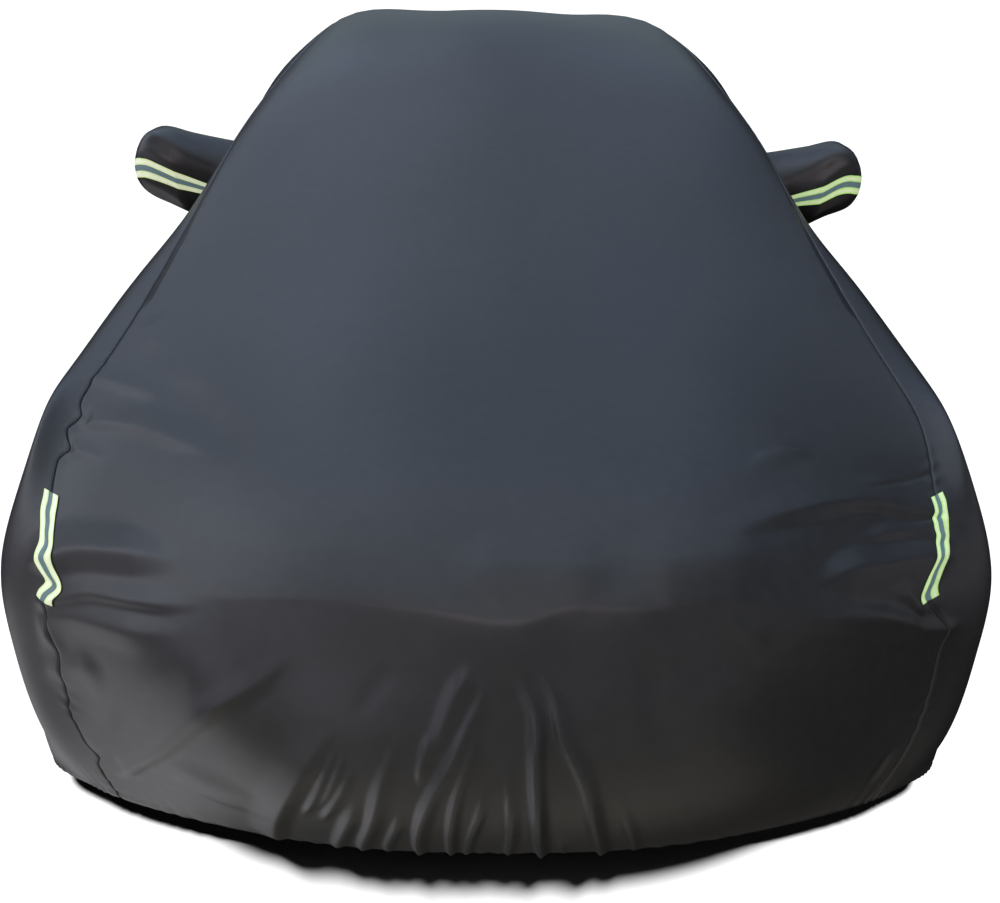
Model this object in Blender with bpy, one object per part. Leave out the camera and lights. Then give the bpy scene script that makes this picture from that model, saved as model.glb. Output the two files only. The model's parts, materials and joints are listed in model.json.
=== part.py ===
"""Car cover: a fitted outdoor cover of coated cloth, in the shape it takes drawn over a saloon car.

Frame: metres, +Z up, the front of the car towards -Y, "left" is -X.  The origin lies on the
underside of the cloth at the middle of the roof, where the car carries it.

All the cloth is one smooth surface.  SECTIONS gives it: each row is a section of the car, from the
front hem over the roof to the rear hem, and each column is a rail, from the centre line down to the
side hem.  A place on the cloth is `along`, metres along the centre line from the front hem, and
`girth`, which is 0 on the centre line, SEAM at the seam and SIDE_HEM at the hem of the flank,
negative on the left.  The panels are cut from that surface by these two numbers, and FOLDS raises
the folds on it.
"""
import bpy
import numpy as np
from mathutils.geometry import delaunay_2d_cdt

# ---------------------------------------------------------------- driving dimensions, metres
CLOTH = 0.002            # thickness of the sheet
TAPE = 0.001             # thickness of the reflective tape
TAPE_WIDTH = 0.038
GAP = 0.00035            # between pieces that are sewn together
HEM = 0.10               # height of the hem over the ground
GROUND_TO_ROOF = 1.375   # outer face of the cloth at the middle of the roof
ROOF_MIDDLE = 2.62       # from the bumper's nose plane back to the middle of the roof

# girth of each rail: centre line, hood crown, seam, window line, belt line, widest line, hem
SEAM = 0.80
SIDE_HEM = 1.98
RAILS = np.array([0.0, 0.42, SEAM, 1.00, 1.18, 1.52, SIDE_HEM])

# The sections, front to rear, measured from the bumper's nose plane and from the ground.  First row:
# centre (y, z), then (x, y, z) of seam and window line.  Second row: (x, y, z) of belt line and widest
# line, then hem (x, y)
SECTIONS = (
    ("front hem",    (0.150, 0.100), (0.740, 0.260, 0.100), (0.810, 0.290, 0.100),
                     (0.875, 0.320, 0.100), (0.920, 0.375, 0.100), (0.915, 0.450)),
    ("bumper low",   (0.070, 0.260), (0.765, 0.255, 0.250), (0.865, 0.300, 0.240),
                     (0.920, 0.370, 0.180), (0.955, 0.425, 0.150), (0.930, 0.510)),
    ("bumper nose",  (0.010, 0.460), (0.785, 0.285, 0.430), (0.910, 0.365, 0.420),
                     (0.955, 0.460, 0.310), (0.965, 0.540, 0.240), (0.930, 0.620)),
    ("grille top",   (0.030, 0.640), (0.795, 0.350, 0.595), (0.935, 0.450, 0.550),
                     (0.955, 0.560, 0.410), (0.965, 0.670, 0.330), (0.920, 0.765)),
    ("hood lip",     (0.135, 0.735), (0.820, 0.460, 0.670), (0.910, 0.530, 0.660),
                     (0.950, 0.675, 0.520), (0.965, 0.795, 0.410), (0.915, 0.910)),
    ("hood middle",  (0.620, 0.850), (0.825, 0.770, 0.790), (0.910, 0.805, 0.770),
                     (0.950, 0.925, 0.655), (0.965, 1.005, 0.500), (0.910, 1.125)),
    ("cowl",         (1.120, 0.980), (0.785, 1.185, 0.920), (0.860, 1.215, 0.880),
                     (0.925, 1.300, 0.800), (0.965, 1.365, 0.550), (0.910, 1.420)),
    ("windscreen",   (1.620, 1.200), (0.710, 1.660, 1.130), (0.765, 1.660, 1.020),
                     (0.855, 1.670, 0.890), (0.960, 1.690, 0.580), (0.905, 1.700)),
    ("header",       (2.060, 1.355), (0.620, 2.060, 1.270), (0.755, 2.060, 1.140),
                     (0.865, 2.060, 0.920), (0.965, 2.060, 0.590), (0.900, 2.060)),
    ("roof middle",  (2.620, 1.375), (0.595, 2.620, 1.325), (0.720, 2.620, 1.180),
                     (0.850, 2.620, 0.940), (0.965, 2.620, 0.600), (0.900, 2.620)),
    ("roof rear",    (3.300, 1.335), (0.575, 3.280, 1.285), (0.720, 3.270, 1.150),
                     (0.865, 3.260, 0.950), (0.960, 3.250, 0.600), (0.900, 3.240)),
    ("rear window",  (3.800, 1.230), (0.620, 3.740, 1.190), (0.760, 3.700, 1.090),
                     (0.880, 3.680, 0.950), (0.955, 3.650, 0.600), (0.900, 3.620)),
    ("boot front",   (4.220, 1.100), (0.700, 4.120, 1.065), (0.810, 4.070, 1.010),
                     (0.890, 4.020, 0.920), (0.950, 3.960, 0.600), (0.900, 3.900)),
    ("boot lip",     (4.660, 1.045), (0.760, 4.500, 1.010), (0.830, 4.420, 0.965),
                     (0.885, 4.340, 0.880), (0.940, 4.200, 0.580), (0.895, 4.100)),
    ("tail top",     (4.800, 0.920), (0.780, 4.600, 0.890), (0.835, 4.530, 0.840),
                     (0.875, 4.450, 0.750), (0.925, 4.320, 0.520), (0.885, 4.220)),
    ("tail nose",    (4.860, 0.600), (0.780, 4.640, 0.580), (0.820, 4.590, 0.540),
                     (0.860, 4.530, 0.460), (0.900, 4.440, 0.320), (0.860, 4.360)),
    ("tail low",     (4.840, 0.320), (0.760, 4.640, 0.300), (0.790, 4.600, 0.280),
                     (0.820, 4.560, 0.240), (0.850, 4.510, 0.170), (0.830, 4.460)),
    ("rear hem",     (4.760, 0.100), (0.720, 4.580, 0.100), (0.745, 4.555, 0.100),
                     (0.765, 4.530, 0.100), (0.780, 4.500, 0.100), (0.795, 4.470)),
)

# The folds.  Each runs from (along, girth) to (along, girth), bowed sideways by `bow` metres at its
# middle.  `half` is the half width of its ridge, `height` how far the ridge stands out (a trough
# where it is negative), and `crease` the depth of the crease along one side of it.  Bow and crease
# are + on the right hand of the run.  The fades are the shares of the run over which the fold rises
# at its start and sinks at its end (0 where it runs out at an edge of the cloth).
FOLDS = (
    # name                 from              to               bow     half    height  crease  fades
    # pleats that the elastic of the front hem gathers, left to right
    ("pleat a",           (0.53, -0.226), (0.03, -0.440),  -0.020,  0.016,  0.012,  0.008, (0.4, 0.1)),
    ("pleat b",           (0.50, -0.236), (0.35, -0.312),   0.000,  0.009,  0.005,  0.000, (0.3, 0.4)),
    ("pleat c",           (0.41, -0.272), (0.13, -0.384),   0.000,  0.009,  0.006,  0.000, (0.3, 0.4)),
    ("pleat d",           (0.41, -0.244), (0.16, -0.340),   0.000,  0.009,  0.005,  0.000, (0.4, 0.4)),
    ("pleat e",           (0.38, -0.220), (0.02, -0.317),   0.000,  0.016,  0.007,  0.000, (0.4, 0.1)),
    ("pleat f",           (0.52, -0.152), (0.03, -0.272),   0.000,  0.020,  0.008,  0.000, (0.4, 0.1)),
    ("pleat g",           (0.53, -0.108), (0.05, -0.230),   0.000,  0.010,  0.005,  0.000, (0.3, 0.2)),
    ("pleat h",           (0.65, -0.056), (0.41, -0.122),   0.000,  0.016,  0.006,  0.000, (0.3, 0.4)),
    ("pleat i",           (0.61, -0.040), (0.00, -0.176),   0.000,  0.012,  0.010, -0.004, (0.3, 0.0)),
    ("pleat j",           (0.54, -0.044), (0.00, -0.108),   0.000,  0.010,  0.007, -0.003, (0.3, 0.0)),
    ("pleat k",           (0.43, -0.033), (0.00, -0.072),   0.000,  0.008,  0.005,  0.000, (0.3, 0.0)),
    ("pleat l",           (0.48, -0.008), (0.00,  0.015),   0.000,  0.008,  0.006,  0.000, (0.3, 0.0)),
    ("pleat m",           (0.64,  0.004), (0.00,  0.083),   0.006,  0.011,  0.010,  0.004, (0.3, 0.0)),
    ("pleat n",           (0.66,  0.022), (0.00,  0.205),   0.008,  0.011,  0.010,  0.004, (0.3, 0.0)),
    ("pleat o",           (0.27,  0.076), (0.00,  0.130),   0.000,  0.009,  0.005,  0.000, (0.4, 0.0)),
    ("pleat p",           (0.40,  0.174), (0.00,  0.270),   0.000,  0.008,  0.005,  0.000, (0.4, 0.0)),
    ("pleat q",           (0.66,  0.190), (0.38,  0.288),   0.000,  0.022, -0.006,  0.000, (0.4, 0.4)),
    ("pleat r",           (0.66, -0.284), (0.56, -0.358),   0.000,  0.018,  0.005,  0.000, (0.4, 0.4)),
    # the lip of the hood, where the cloth turns down over its front edge, with a dip in the middle
    ("lip left",          (0.66, -0.480), (0.675, -0.010),  0.022,  0.022,  0.012, -0.006, (0.4, 0.1)),
    ("lip right",         (0.68, -0.020), (0.600,  0.540),  0.055,  0.022,  0.012, -0.006, (0.1, 0.4)),
    # folds drawn in round the left front corner, top to bottom
    ("left hood upper",   (1.13, -0.800), (1.05, -0.500),   0.000,  0.030, -0.005,  0.000, (0.1, 0.5)),
    ("left hood lower",   (0.96, -0.800), (0.94, -0.390),   0.000,  0.030, -0.006,  0.000, (0.1, 0.5)),
    ("left corner a",     (0.585, -0.81), (0.71, -0.440),   0.000,  0.022, -0.012,  0.000, (0.1, 0.4)),
    ("left corner b",     (0.535, -0.82), (0.68, -0.430),   0.000,  0.010,  0.008,  0.000, (0.1, 0.4)),
    ("left corner c",     (0.505, -0.82), (0.65, -0.410),   0.000,  0.010, -0.008,  0.000, (0.1, 0.4)),
    ("left corner d",     (0.480, -0.82), (0.63, -0.420),   0.000,  0.012,  0.008,  0.000, (0.1, 0.4)),
    ("left corner e",     (0.440, -0.81), (0.61, -0.430),   0.000,  0.016, -0.011,  0.000, (0.1, 0.4)),
    ("left corner f",     (0.400, -0.82), (0.56, -0.490),   0.000,  0.012,  0.008,  0.000, (0.1, 0.4)),
    ("left corner g",     (0.355, -0.81), (0.50, -0.550),   0.000,  0.016, -0.010,  0.000, (0.1, 0.4)),
    ("left corner h",     (0.130, -0.80), (0.57, -0.480),   0.000,  0.017, -0.008,  0.000, (0.1, 0.4)),
    ("left corner i",     (0.075, -0.79), (0.62, -0.320),   0.024,  0.018,  0.016, -0.008, (0.1, 0.3)),
    # folds drawn in round the right front corner, top to bottom
    ("right hood upper",  (0.93,  0.350), (0.96,  0.540),   0.030,  0.020,  0.006,  0.000, (0.4, 0.4)),
    ("right hood lower",  (0.78,  0.290), (0.69,  0.810),   0.085,  0.020,  0.011, -0.007, (0.3, 0.1)),
    ("right corner a",    (0.75,  0.500), (0.66,  0.800),   0.000,  0.011,  0.006, -0.004, (0.4, 0.1)),
    ("right corner b",    (0.65,  0.430), (0.61,  0.790),   0.045,  0.026, -0.014,  0.000, (0.4, 0.1)),
    ("right corner c",    (0.64,  0.570), (0.53,  0.815),   0.000,  0.012,  0.008,  0.000, (0.4, 0.1)),
    ("right corner d",    (0.64,  0.490), (0.475, 0.825),   0.000,  0.010,  0.010, -0.005, (0.3, 0.1)),
    # shallow drapes on the flanks and round the tail
    ("left flank front",  (2.10, -1.250), (1.55, -1.750),   0.030,  0.040,  0.006,  0.000, (0.4, 0.4)),
    ("left flank rear",   (3.70, -1.250), (4.20, -1.760),  -0.030,  0.040,  0.006,  0.000, (0.4, 0.4)),
    ("right flank front", (2.05,  1.260), (1.50,  1.760),  -0.030,  0.040,  0.006,  0.000, (0.4, 0.4)),
    ("right flank rear",  (3.75,  1.260), (4.25,  1.740),   0.030,  0.040,  0.006,  0.000, (0.4, 0.4)),
    ("tail left",         (5.75, -0.300), (6.33, -0.420),   0.000,  0.026,  0.009,  0.000, (0.4, 0.1)),
    ("tail middle",       (5.80,  0.020), (6.38,  0.060),   0.000,  0.024,  0.008,  0.000, (0.4, 0.1)),
    ("tail right",        (5.75,  0.320), (6.33,  0.450),   0.000,  0.026,  0.009,  0.000, (0.4, 0.1)),
)

# Where the folds of the front corners push the seam sideways: side, along, spread along, push
SEAM_KINKS = (
    (-1, 0.556, 0.022, -0.034),
    (-1, 0.280, 0.030,  0.012),
    (-1, 0.165, 0.024, -0.024),
    (+1, 0.720, 0.240, -0.042),
    (+1, 0.580, 0.040, -0.058),
    (+1, 0.480, 0.030,  0.014),
)

# Spacing of the mesh of a panel, along and across, from one place along the cloth to the next
MESH_ZONES = (
    # from, to, spacing
    (0.00, 0.90, 0.064),
    (0.90, 1.25, 0.095),
    (1.25, 5.20, 0.155),
    (5.20, 6.50, 0.110),
)
FLANK_SPACING = 0.125          # never finer than this on a side panel

# The reflective tape over the seam at each front corner
STRIP_ALONG = {-1: (0.520, 0.730), 1: (0.560, 0.765)}
STRIP_ROWS = 11
STRIP_HALF_GIRTH = 0.019       # half of TAPE_WIDTH, in girth, there

# The mirror pockets.  The hole for one in the side panel: centre and half size, along and girth
HOLE_CENTRE = (2.224, 1.028)
HOLE_HALF = (0.102, 0.106)
# Its stations outwards from the flank: out x, centre (y, z), half depth and half height
POCKET_STATIONS = (
    (0.885, (1.620, 0.996), (0.110, 0.107)),
    (0.930, (1.618, 1.013), (0.105, 0.101)),
    (0.969, (1.616, 1.016), (0.097, 0.088)),
    (0.995, (1.614, 1.009), (0.078, 0.060)),
    (1.008, (1.613, 1.003), (0.056, 0.038)),
)
POCKET_TIP = 1.012
TIP_WALL = 0.005               # from the tip to the last ring of the inner skin
ROOT_GAP = 0.00045             # from the rim of the hole to the root of the pocket
COLLAR = 0.0015                # how far the root stands up before the pocket turns outwards
POCKET_SQUARENESS = 2.8        # exponent of the rounded outline
POCKET_SIDES = 22              # columns round a pocket, with the two edges of its tape

CLOTH_COLOUR = (0.030, 0.034, 0.040)
TAPE_COLOUR = (0.560, 0.800, 0.240)


# ---------------------------------------------------------------- the surface of the cloth
def spline_weights(knots, at):
    """Weights (places, knots) that give a natural cubic spline through values at the knots."""
    knots = np.asarray(knots, float)
    at = np.atleast_1d(np.asarray(at, float))
    count = len(knots)
    step = np.diff(knots)
    bend = np.eye(count)
    load = np.zeros((count, count))
    for i in range(1, count - 1):
        bend[i, i - 1:i + 2] = step[i - 1], 2 * (step[i - 1] + step[i]), step[i]
        load[i, i - 1:i + 2] = 6 / step[i - 1], -6 / step[i - 1] - 6 / step[i], 6 / step[i]
    curve = np.linalg.solve(bend, load)
    i = np.clip(np.searchsorted(knots, at, side="right") - 1, 0, count - 2)
    span = step[i][:, None]
    a = (knots[i + 1] - at)[:, None] / span
    b = 1 - a
    one = np.eye(count)
    return (a * one[i] + b * one[i + 1]
            + ((a**3 - a) * curve[i] + (b**3 - b) * curve[i + 1]) * span**2 / 6)


def rail_points():
    """Points (sections, rails both sides, 3) of the net, and the sections' places along."""
    rows = []
    for _, centre, seam, window, belt, widest, hem in SECTIONS:
        middle = np.array((0.0, *centre))
        share = RAILS[1] / RAILS[2]
        fall = (np.array(seam) - middle) * (share * 1.02, share**2.2, share**2.2)
        half = np.array((middle, middle + fall, seam, window, belt, widest, (*hem, HEM)))
        rows.append(np.concatenate((half[:0:-1] * (-1, 1, 1), half)))
    net = np.array(rows)
    centre_line = net[:, len(RAILS) - 1]
    steps = np.linalg.norm(np.diff(centre_line, axis=0), axis=1)
    return net - FROM_GROUND, np.concatenate(((0.0,), np.cumsum(steps)))


FROM_GROUND = np.array((0.0, ROOF_MIDDLE, GROUND_TO_ROOF - CLOTH))
NET, SECTION_ALONG = rail_points()
NET_GIRTH = np.concatenate((-RAILS[:0:-1], RAILS))
LENGTH = SECTION_ALONG[-1]


def smooth_point(along, girth):
    """Points of the cloth without its folds; the kinks of the seam shift them sideways."""
    side = np.sign(girth)
    shift = np.zeros_like(girth)
    for kink_side, at, spread, push in SEAM_KINKS:
        shift += push * (side == kink_side) * np.exp(-((along - at) / spread)**2)
    girth = girth + side * shift * np.exp(-((np.abs(girth) - SEAM) / 0.09)**2)
    return np.einsum("ps,pr,srx->px", spline_weights(SECTION_ALONG, along),
                     spline_weights(NET_GIRTH, girth), NET, optimize=True)


def fold_line(fold, shares):
    """Places (along, girth) of a fold's ridge at shares of its run."""
    start, end = np.array(fold[1]), np.array(fold[2])
    run = end - start
    right = np.array((run[1], -run[0])) / np.linalg.norm(run)
    return (start + shares[:, None] * run
            + 4 * fold[3] * (shares * (1 - shares))[:, None] * right)


def fold_height(along, girth):
    """How far all the folds together raise the cloth at each place."""
    height = np.zeros_like(along)
    place = np.stack((along, girth), 1)
    shares = np.linspace(0, 1, 41)
    for fold in FOLDS:
        _, _, _, _, half, ridge, crease, (rise, sink) = fold
        line = fold_line(fold, shares)
        near = np.all((place > line.min(0) - 4 * half) & (place < line.max(0) + 4 * half), axis=1)
        if not near.any():
            continue
        apart = place[near][:, None] - line
        nearest = np.argmin((apart**2).sum(2), axis=1)
        run = np.gradient(line, axis=0)[nearest]
        run /= np.linalg.norm(run, axis=1)[:, None]
        off = apart[np.arange(len(nearest)), nearest]
        across = (off[:, 0] * run[:, 1] - off[:, 1] * run[:, 0]) / half
        past = (off * run).sum(1) / half
        share = shares[nearest]
        strength = np.exp(-past**2)
        if rise:
            strength *= np.sin(np.clip(share / rise, 0, 1) * np.pi / 2)**2
        if sink:
            strength *= np.sin(np.clip((1 - share) / sink, 0, 1) * np.pi / 2)**2
        shape = ridge * np.exp(-across**2)
        shape -= abs(crease) * np.exp(-(across - 1.9 * np.sign(crease))**2)
        height[near] += strength * shape
    return height


def normal(surface, along, girth, reach=0.002):
    """Outward unit normals of a surface, taken a little inside the hems."""
    along = np.clip(along, 0.02, LENGTH - 0.02)
    girth = np.clip(girth, 0.02 - SIDE_HEM, SIDE_HEM - 0.02)
    forward = surface(along + reach, girth) - surface(along - reach, girth)
    sideways = surface(along, girth + reach) - surface(along, girth - reach)
    out = np.cross(sideways, forward)
    return out / np.linalg.norm(out, axis=1)[:, None]


def cloth_point(along, girth):
    """Points of the outer face of the cloth, with its folds."""
    rise = fold_height(along, girth)[:, None]
    return smooth_point(along, girth) + rise * normal(smooth_point, along, girth)


# ---------------------------------------------------------------- making closed pieces
def material(name, colour, roughness):
    """A plain Principled material."""
    made = bpy.data.materials.new(name)
    made.use_nodes = True
    shader = made.node_tree.nodes["Principled BSDF"]
    shader.inputs["Base Color"].default_value = (*colour, 1.0)
    shader.inputs["Roughness"].default_value = roughness
    shader.inputs["Metallic"].default_value = 0.0
    return made


def closed_sheet(name, outer, inner, triangles, look):
    """A closed body between two faces of the same triangles, with a rim round every free edge.

    A rim's quads are cut from their rear upper corner, so that facing rims stay parallel.
    """
    count = len(outer)
    once = {}
    for a, b, c in triangles:
        for edge in ((a, b), (b, c), (c, a)):
            once[edge] = edge[::-1] not in once and edge
            if not once[edge]:
                once[edge[::-1]] = False
    rims = [edge for edge in once.values() if edge]
    faces = [(a, b, c) for a, b, c in triangles]
    faces += [(a + count, c + count, b + count) for a, b, c in triangles]
    for a, b in rims:
        if outer[a] @ (0.1, 1.0, 0.9) < outer[b] @ (0.1, 1.0, 0.9):
            faces += [(b, a, a + count), (b, a + count, b + count)]
        else:
            faces += [(b, a, b + count), (a, a + count, b + count)]
    mesh = bpy.data.meshes.new(name)
    mesh.from_pydata([tuple(p) for p in np.concatenate((outer, inner))], [], faces)
    mesh.update()
    mesh.shade_smooth()
    mesh.set_sharp_from_angle(angle=np.radians(50))
    mesh.materials.append(look)
    piece = bpy.data.objects.new(name, mesh)
    bpy.context.scene.collection.objects.link(piece)
    return piece


def grid_triangles(rows, columns, wrap=False):
    """Triangles of a grid whose rows run outwards and whose columns turn the outer face out."""
    triangles = []
    for i in range(rows - 1):
        for j in range(columns if wrap else columns - 1):
            a = i * columns + j
            b = i * columns + (j + 1) % columns
            triangles += [(a, b, b + columns), (a, b + columns, a + columns)]
    return triangles


# ---------------------------------------------------------------- the panels
def stations(start, end, scale=1.0):
    """Places from start to end, spaced as MESH_ZONES says."""
    places = [start]
    while places[-1] < end:
        step = next(size for low, high, size in MESH_ZONES if low <= places[-1] < high)
        places.append(places[-1] + step * scale)
    places = np.array(places)
    return start + (places - start) * (end - start) / (places[-1] - start)


def spacing(along):
    """The mesh spacing at one place along the cloth."""
    return next(size for low, high, size in MESH_ZONES if low <= along < high)


def strip_rows(side):
    """Places along the seam of the rows of one strip of tape."""
    return np.linspace(*STRIP_ALONG[side], STRIP_ROWS)


def seam_places(side):
    """Places along one seam where both panels have a vertex."""
    rows = strip_rows(side)
    below = stations(0.0, rows[0], 0.55)
    above = stations(rows[-1], LENGTH, 0.8)
    return np.concatenate((below[:-1], rows, above[1:]))


def oval(angles, half):
    """Points (forward, up) of a rounded outline."""
    power = 2 / POCKET_SQUARENESS
    cosine, sine = np.cos(angles), np.sin(angles)
    return (np.sign(cosine) * np.abs(cosine)**power * half[0],
            np.sign(sine) * np.abs(sine)**power * half[1])


def pocket_angles(half=HOLE_HALF):
    """Angles of the columns round a pocket: its front middle, the tape's edges, the rest even."""
    turn = np.linspace(0, 2 * np.pi, 1441)
    forward, up = oval(turn, half)
    length = np.concatenate(((0.0,), np.cumsum(np.hypot(np.diff(forward), np.diff(up)))))
    edge = TAPE_WIDTH / 2
    rest = np.linspace(edge, length[-1] - edge, POCKET_SIDES - 1)
    return np.interp(np.concatenate(((0.0,), rest)), length, turn)


def hole_loop(inset=0.0):
    """Places of the rim of the mirror's hole, on the right side, shrunk by an inset in metres."""
    forward, up = oval(pocket_angles(), (HOLE_HALF[0] - inset, HOLE_HALF[1] - inset))
    return np.stack((HOLE_CENTRE[0] - forward, HOLE_CENTRE[1] - up), 1)


def panel_points(side, low, high):
    """Places of a panel's vertices, (girth, along), and the edges that its mesh has to keep."""
    places, edges = [], []

    def add(along, girth):
        places.append((girth, along))
        return len(places) - 1

    def add_run(run):
        ids = [add(*place) for place in run]
        edges.extend(zip(ids[:-1], ids[1:]))
        return ids

    def edge_places(girth):
        on_seam = abs(abs(girth) - SEAM) < GAP
        return seam_places(int(np.sign(girth))) if on_seam else stations(0.0, LENGTH, 1.4)

    left = add_run([(s, low) for s in edge_places(low)])
    right = add_run([(s, high) for s in edge_places(high)])
    for along, start, end, size in ((0.0, left[0], right[0], 0.100 if side else 0.045),
                                    (LENGTH, left[-1], right[-1], 0.120)):
        across = np.linspace(low, high, int((high - low) / size) + 1)[1:-1]
        chain = [start, *(add(along, girth) for girth in across), end]
        edges.extend(zip(chain[:-1], chain[1:]))
    # the corners of a flank's hem, each tied to a place inside it, so that no face lies in the hem
    if side:
        hem = high if side > 0 else low
        corner_ids = (right[0], right[-1]) if side > 0 else (left[0], left[-1])
        for corner, along in zip(corner_ids, (0.05, LENGTH - 0.07)):
            edges.append((corner, add(along, hem - side * 0.06)))
    # the lattice under each strip of tape
    for tape in (side,) if side else (-1, 1):
        within = STRIP_HALF_GIRTH if side else -STRIP_HALF_GIRTH
        inside = [add(along, tape * (SEAM + within)) for along in strip_rows(tape)]
        edge_line = left if abs(low - tape * SEAM) < GAP else right
        start = int(np.argmin(np.abs(seam_places(tape) - STRIP_ALONG[tape][0])))
        along_edge = edge_line[start:start + STRIP_ROWS]
        for i in range(STRIP_ROWS):
            edges.append((inside[i], along_edge[i]))
            if i + 1 < STRIP_ROWS:
                edges.append((inside[i], inside[i + 1]))
                lower, upper = sorted((inside[i], along_edge[i]), key=lambda k: places[k][0])
                other = {inside[i]: inside[i + 1], along_edge[i]: along_edge[i + 1]}
                edges.append((lower, other[upper]))
    # the rim of the mirror's hole
    if side:
        ids = [add(along, side * girth) for along, girth in hole_loop()]
        edges.extend(zip(ids, ids[1:] + ids[:1]))

    def fill(along, girth, clear):
        """Add a place unless it is too near an edge, the tape, the hole or another place."""
        edge = 0.8 * clear
        if not (low + edge < girth < high - edge and edge < along < LENGTH - edge):
            return
        tape_from, tape_to = STRIP_ALONG[-1 if girth < 0 else 1]
        if (tape_from - 0.008 < along < tape_to + 0.008
                and abs(abs(girth) - SEAM) < STRIP_HALF_GIRTH + 0.008):
            return
        forward = (along - HOLE_CENTRE[0]) / (HOLE_HALF[0] + 0.02)
        up = (abs(girth) - HOLE_CENTRE[1]) / (HOLE_HALF[1] + 0.02)
        if side and np.hypot(forward, up) < 1.05:
            return
        if min(np.hypot(girth - g, along - s) for g, s in places) >= clear:
            places.append((girth, along))

    for fold in sorted(FOLDS, key=lambda row: -abs(row[5])):
        half, crease = fold[4], fold[6]
        run = np.linalg.norm(np.subtract(fold[2], fold[1]))
        shares = np.linspace(0, 1, max(3, int(run / (2.2 * half + 0.016))))
        line = fold_line(fold, shares)
        heading = np.gradient(line, axis=0)
        heading /= np.linalg.norm(heading, axis=1)[:, None]
        right_hand = np.stack((heading[:, 1], -heading[:, 0]), 1)
        hand = np.sign(crease)
        lines_apart = (0.0, 1.9 * hand, -1.5 * hand, 3.4 * hand) if crease else (0.0, 1.5, -1.5)
        for apart in lines_apart:
            for along, girth in line + right_hand * (apart * half):
                fill(along, girth, 0.62 * half + 0.0035)
    for row, along in enumerate(stations(0.0, LENGTH, 0.87)[1:-1]):
        size = max(spacing(along), FLANK_SPACING if side else 0.0)
        count = max(2, int((high - low) / size))
        shift = 0.25 if row % 2 else -0.25
        for girth in low + (np.arange(count + 1) + shift) * (high - low) / count:
            fill(along, girth, 0.55 * size)
    return places, edges


def make_panel(name, side, low, high, look):
    """Cut one panel out of the cloth, from girth low to girth high."""
    places, edges = panel_points(side, low, high)
    found = delaunay_2d_cdt([tuple(p) for p in places], edges, [], 0, 1e-7)
    points = np.array([tuple(p) for p in found[0]])
    triangles = []
    for a, b, c in found[2]:
        p, q, r = points[[a, b, c]]
        area = (q[0] - p[0]) * (r[1] - p[1]) - (q[1] - p[1]) * (r[0] - p[0])
        middle = (p + q + r) / 3
        if side:
            front = abs((middle[1] - HOLE_CENTRE[0]) / HOLE_HALF[0])**POCKET_SQUARENESS
            up = abs((abs(middle[0]) - HOLE_CENTRE[1]) / HOLE_HALF[1])**POCKET_SQUARENESS
            if front + up < 0.97:
                continue
        if abs(area) > 1e-9:
            triangles.append((a, b, c) if area > 0 else (a, c, b))
    used = sorted({k for t in triangles for k in t})
    again = {old: new for new, old in enumerate(used)}
    triangles = [tuple(again[k] for k in t) for t in triangles]
    girth, along = points[used].T
    outer = cloth_point(along, girth)
    inner = outer - CLOTH * normal(cloth_point, along, girth)
    return closed_sheet(name, outer, inner, triangles, look)


# ---------------------------------------------------------------- the mirror pockets and the tape
def pocket_rings(side, inset):
    """Rings of a pocket's skin from its root out to its tip, shrunk by an inset all round."""
    along, girth = hole_loop(ROOT_GAP + inset).T
    girth = side * girth
    out = normal(cloth_point, along, girth)
    skin = cloth_point(along, girth)
    rings = [skin - CLOTH * out, skin + COLLAR * out]
    knots = np.array([row[0] for row in POCKET_STATIONS])
    table = np.array([(*row[1], *row[2]) for row in POCKET_STATIONS])
    places = np.concatenate((np.linspace(knots[0], knots[-2], 5), knots[-1:]))
    for x, (y, z, deep, high) in zip(places, spline_weights(knots, places) @ table):
        forward, up = oval(pocket_angles((deep, high)), (deep - inset, high - inset))
        x = min(x, POCKET_TIP - TIP_WALL) if inset > 0 else x
        rings.append(np.stack((np.full_like(up, side * x), y - forward, z + up), 1) - FROM_GROUND)
    tip = np.array((side * (POCKET_TIP - inset), *table[-1, :2])) - FROM_GROUND
    return np.array(rings), tip


def make_pocket(name, side, look):
    """A cup of cloth: open at its root in the side panel, closed at its tip."""
    skins = []
    for inset in (0.0, CLOTH):
        rings, tip = pocket_rings(side, inset)
        skins.append(np.concatenate((rings.reshape(-1, 3), tip[None])))
    count = POCKET_SIDES
    rows = len(skins[0]) // count
    triangles = grid_triangles(rows, count, wrap=True)
    last = (rows - 1) * count
    triangles += [(last + j, last + (j + 1) % count, rows * count) for j in range(count)]
    if side > 0:
        triangles = [(a, c, b) for a, b, c in triangles]
    return closed_sheet(name, skins[0], skins[1], triangles, look)


def make_pocket_strip(name, side, look):
    """Tape along the front of a pocket, on the same columns as the pocket's skin."""
    columns = [POCKET_SIDES - 1, 0, 1]
    skins = []
    for inset in (-GAP - TAPE, -GAP):
        rings, _ = pocket_rings(side, inset)
        skins.append(rings[1:-1, columns].reshape(-1, 3))
    triangles = grid_triangles(len(skins[0]) // 3, 3)
    if side > 0:
        triangles = [(a, c, b) for a, b, c in triangles]
    return closed_sheet(name, skins[0], skins[1], triangles, look)


def make_seam_strip(name, side, look):
    """Tape over the seam at a front corner, on the same rows as the panels under it."""
    across = np.array((-STRIP_HALF_GIRTH, 0.0, STRIP_HALF_GIRTH)) + side * SEAM
    along, girth = (grid.ravel() for grid in np.meshgrid(strip_rows(side), across, indexing="ij"))
    skin = cloth_point(along, girth)
    out = normal(cloth_point, along, girth)
    triangles = grid_triangles(STRIP_ROWS, 3)
    return closed_sheet(name, skin + (GAP + TAPE) * out, skin + GAP * out, triangles, look)


# ---------------------------------------------------------------- the cover
for old in list(bpy.data.objects):
    bpy.data.objects.remove(old)

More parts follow.
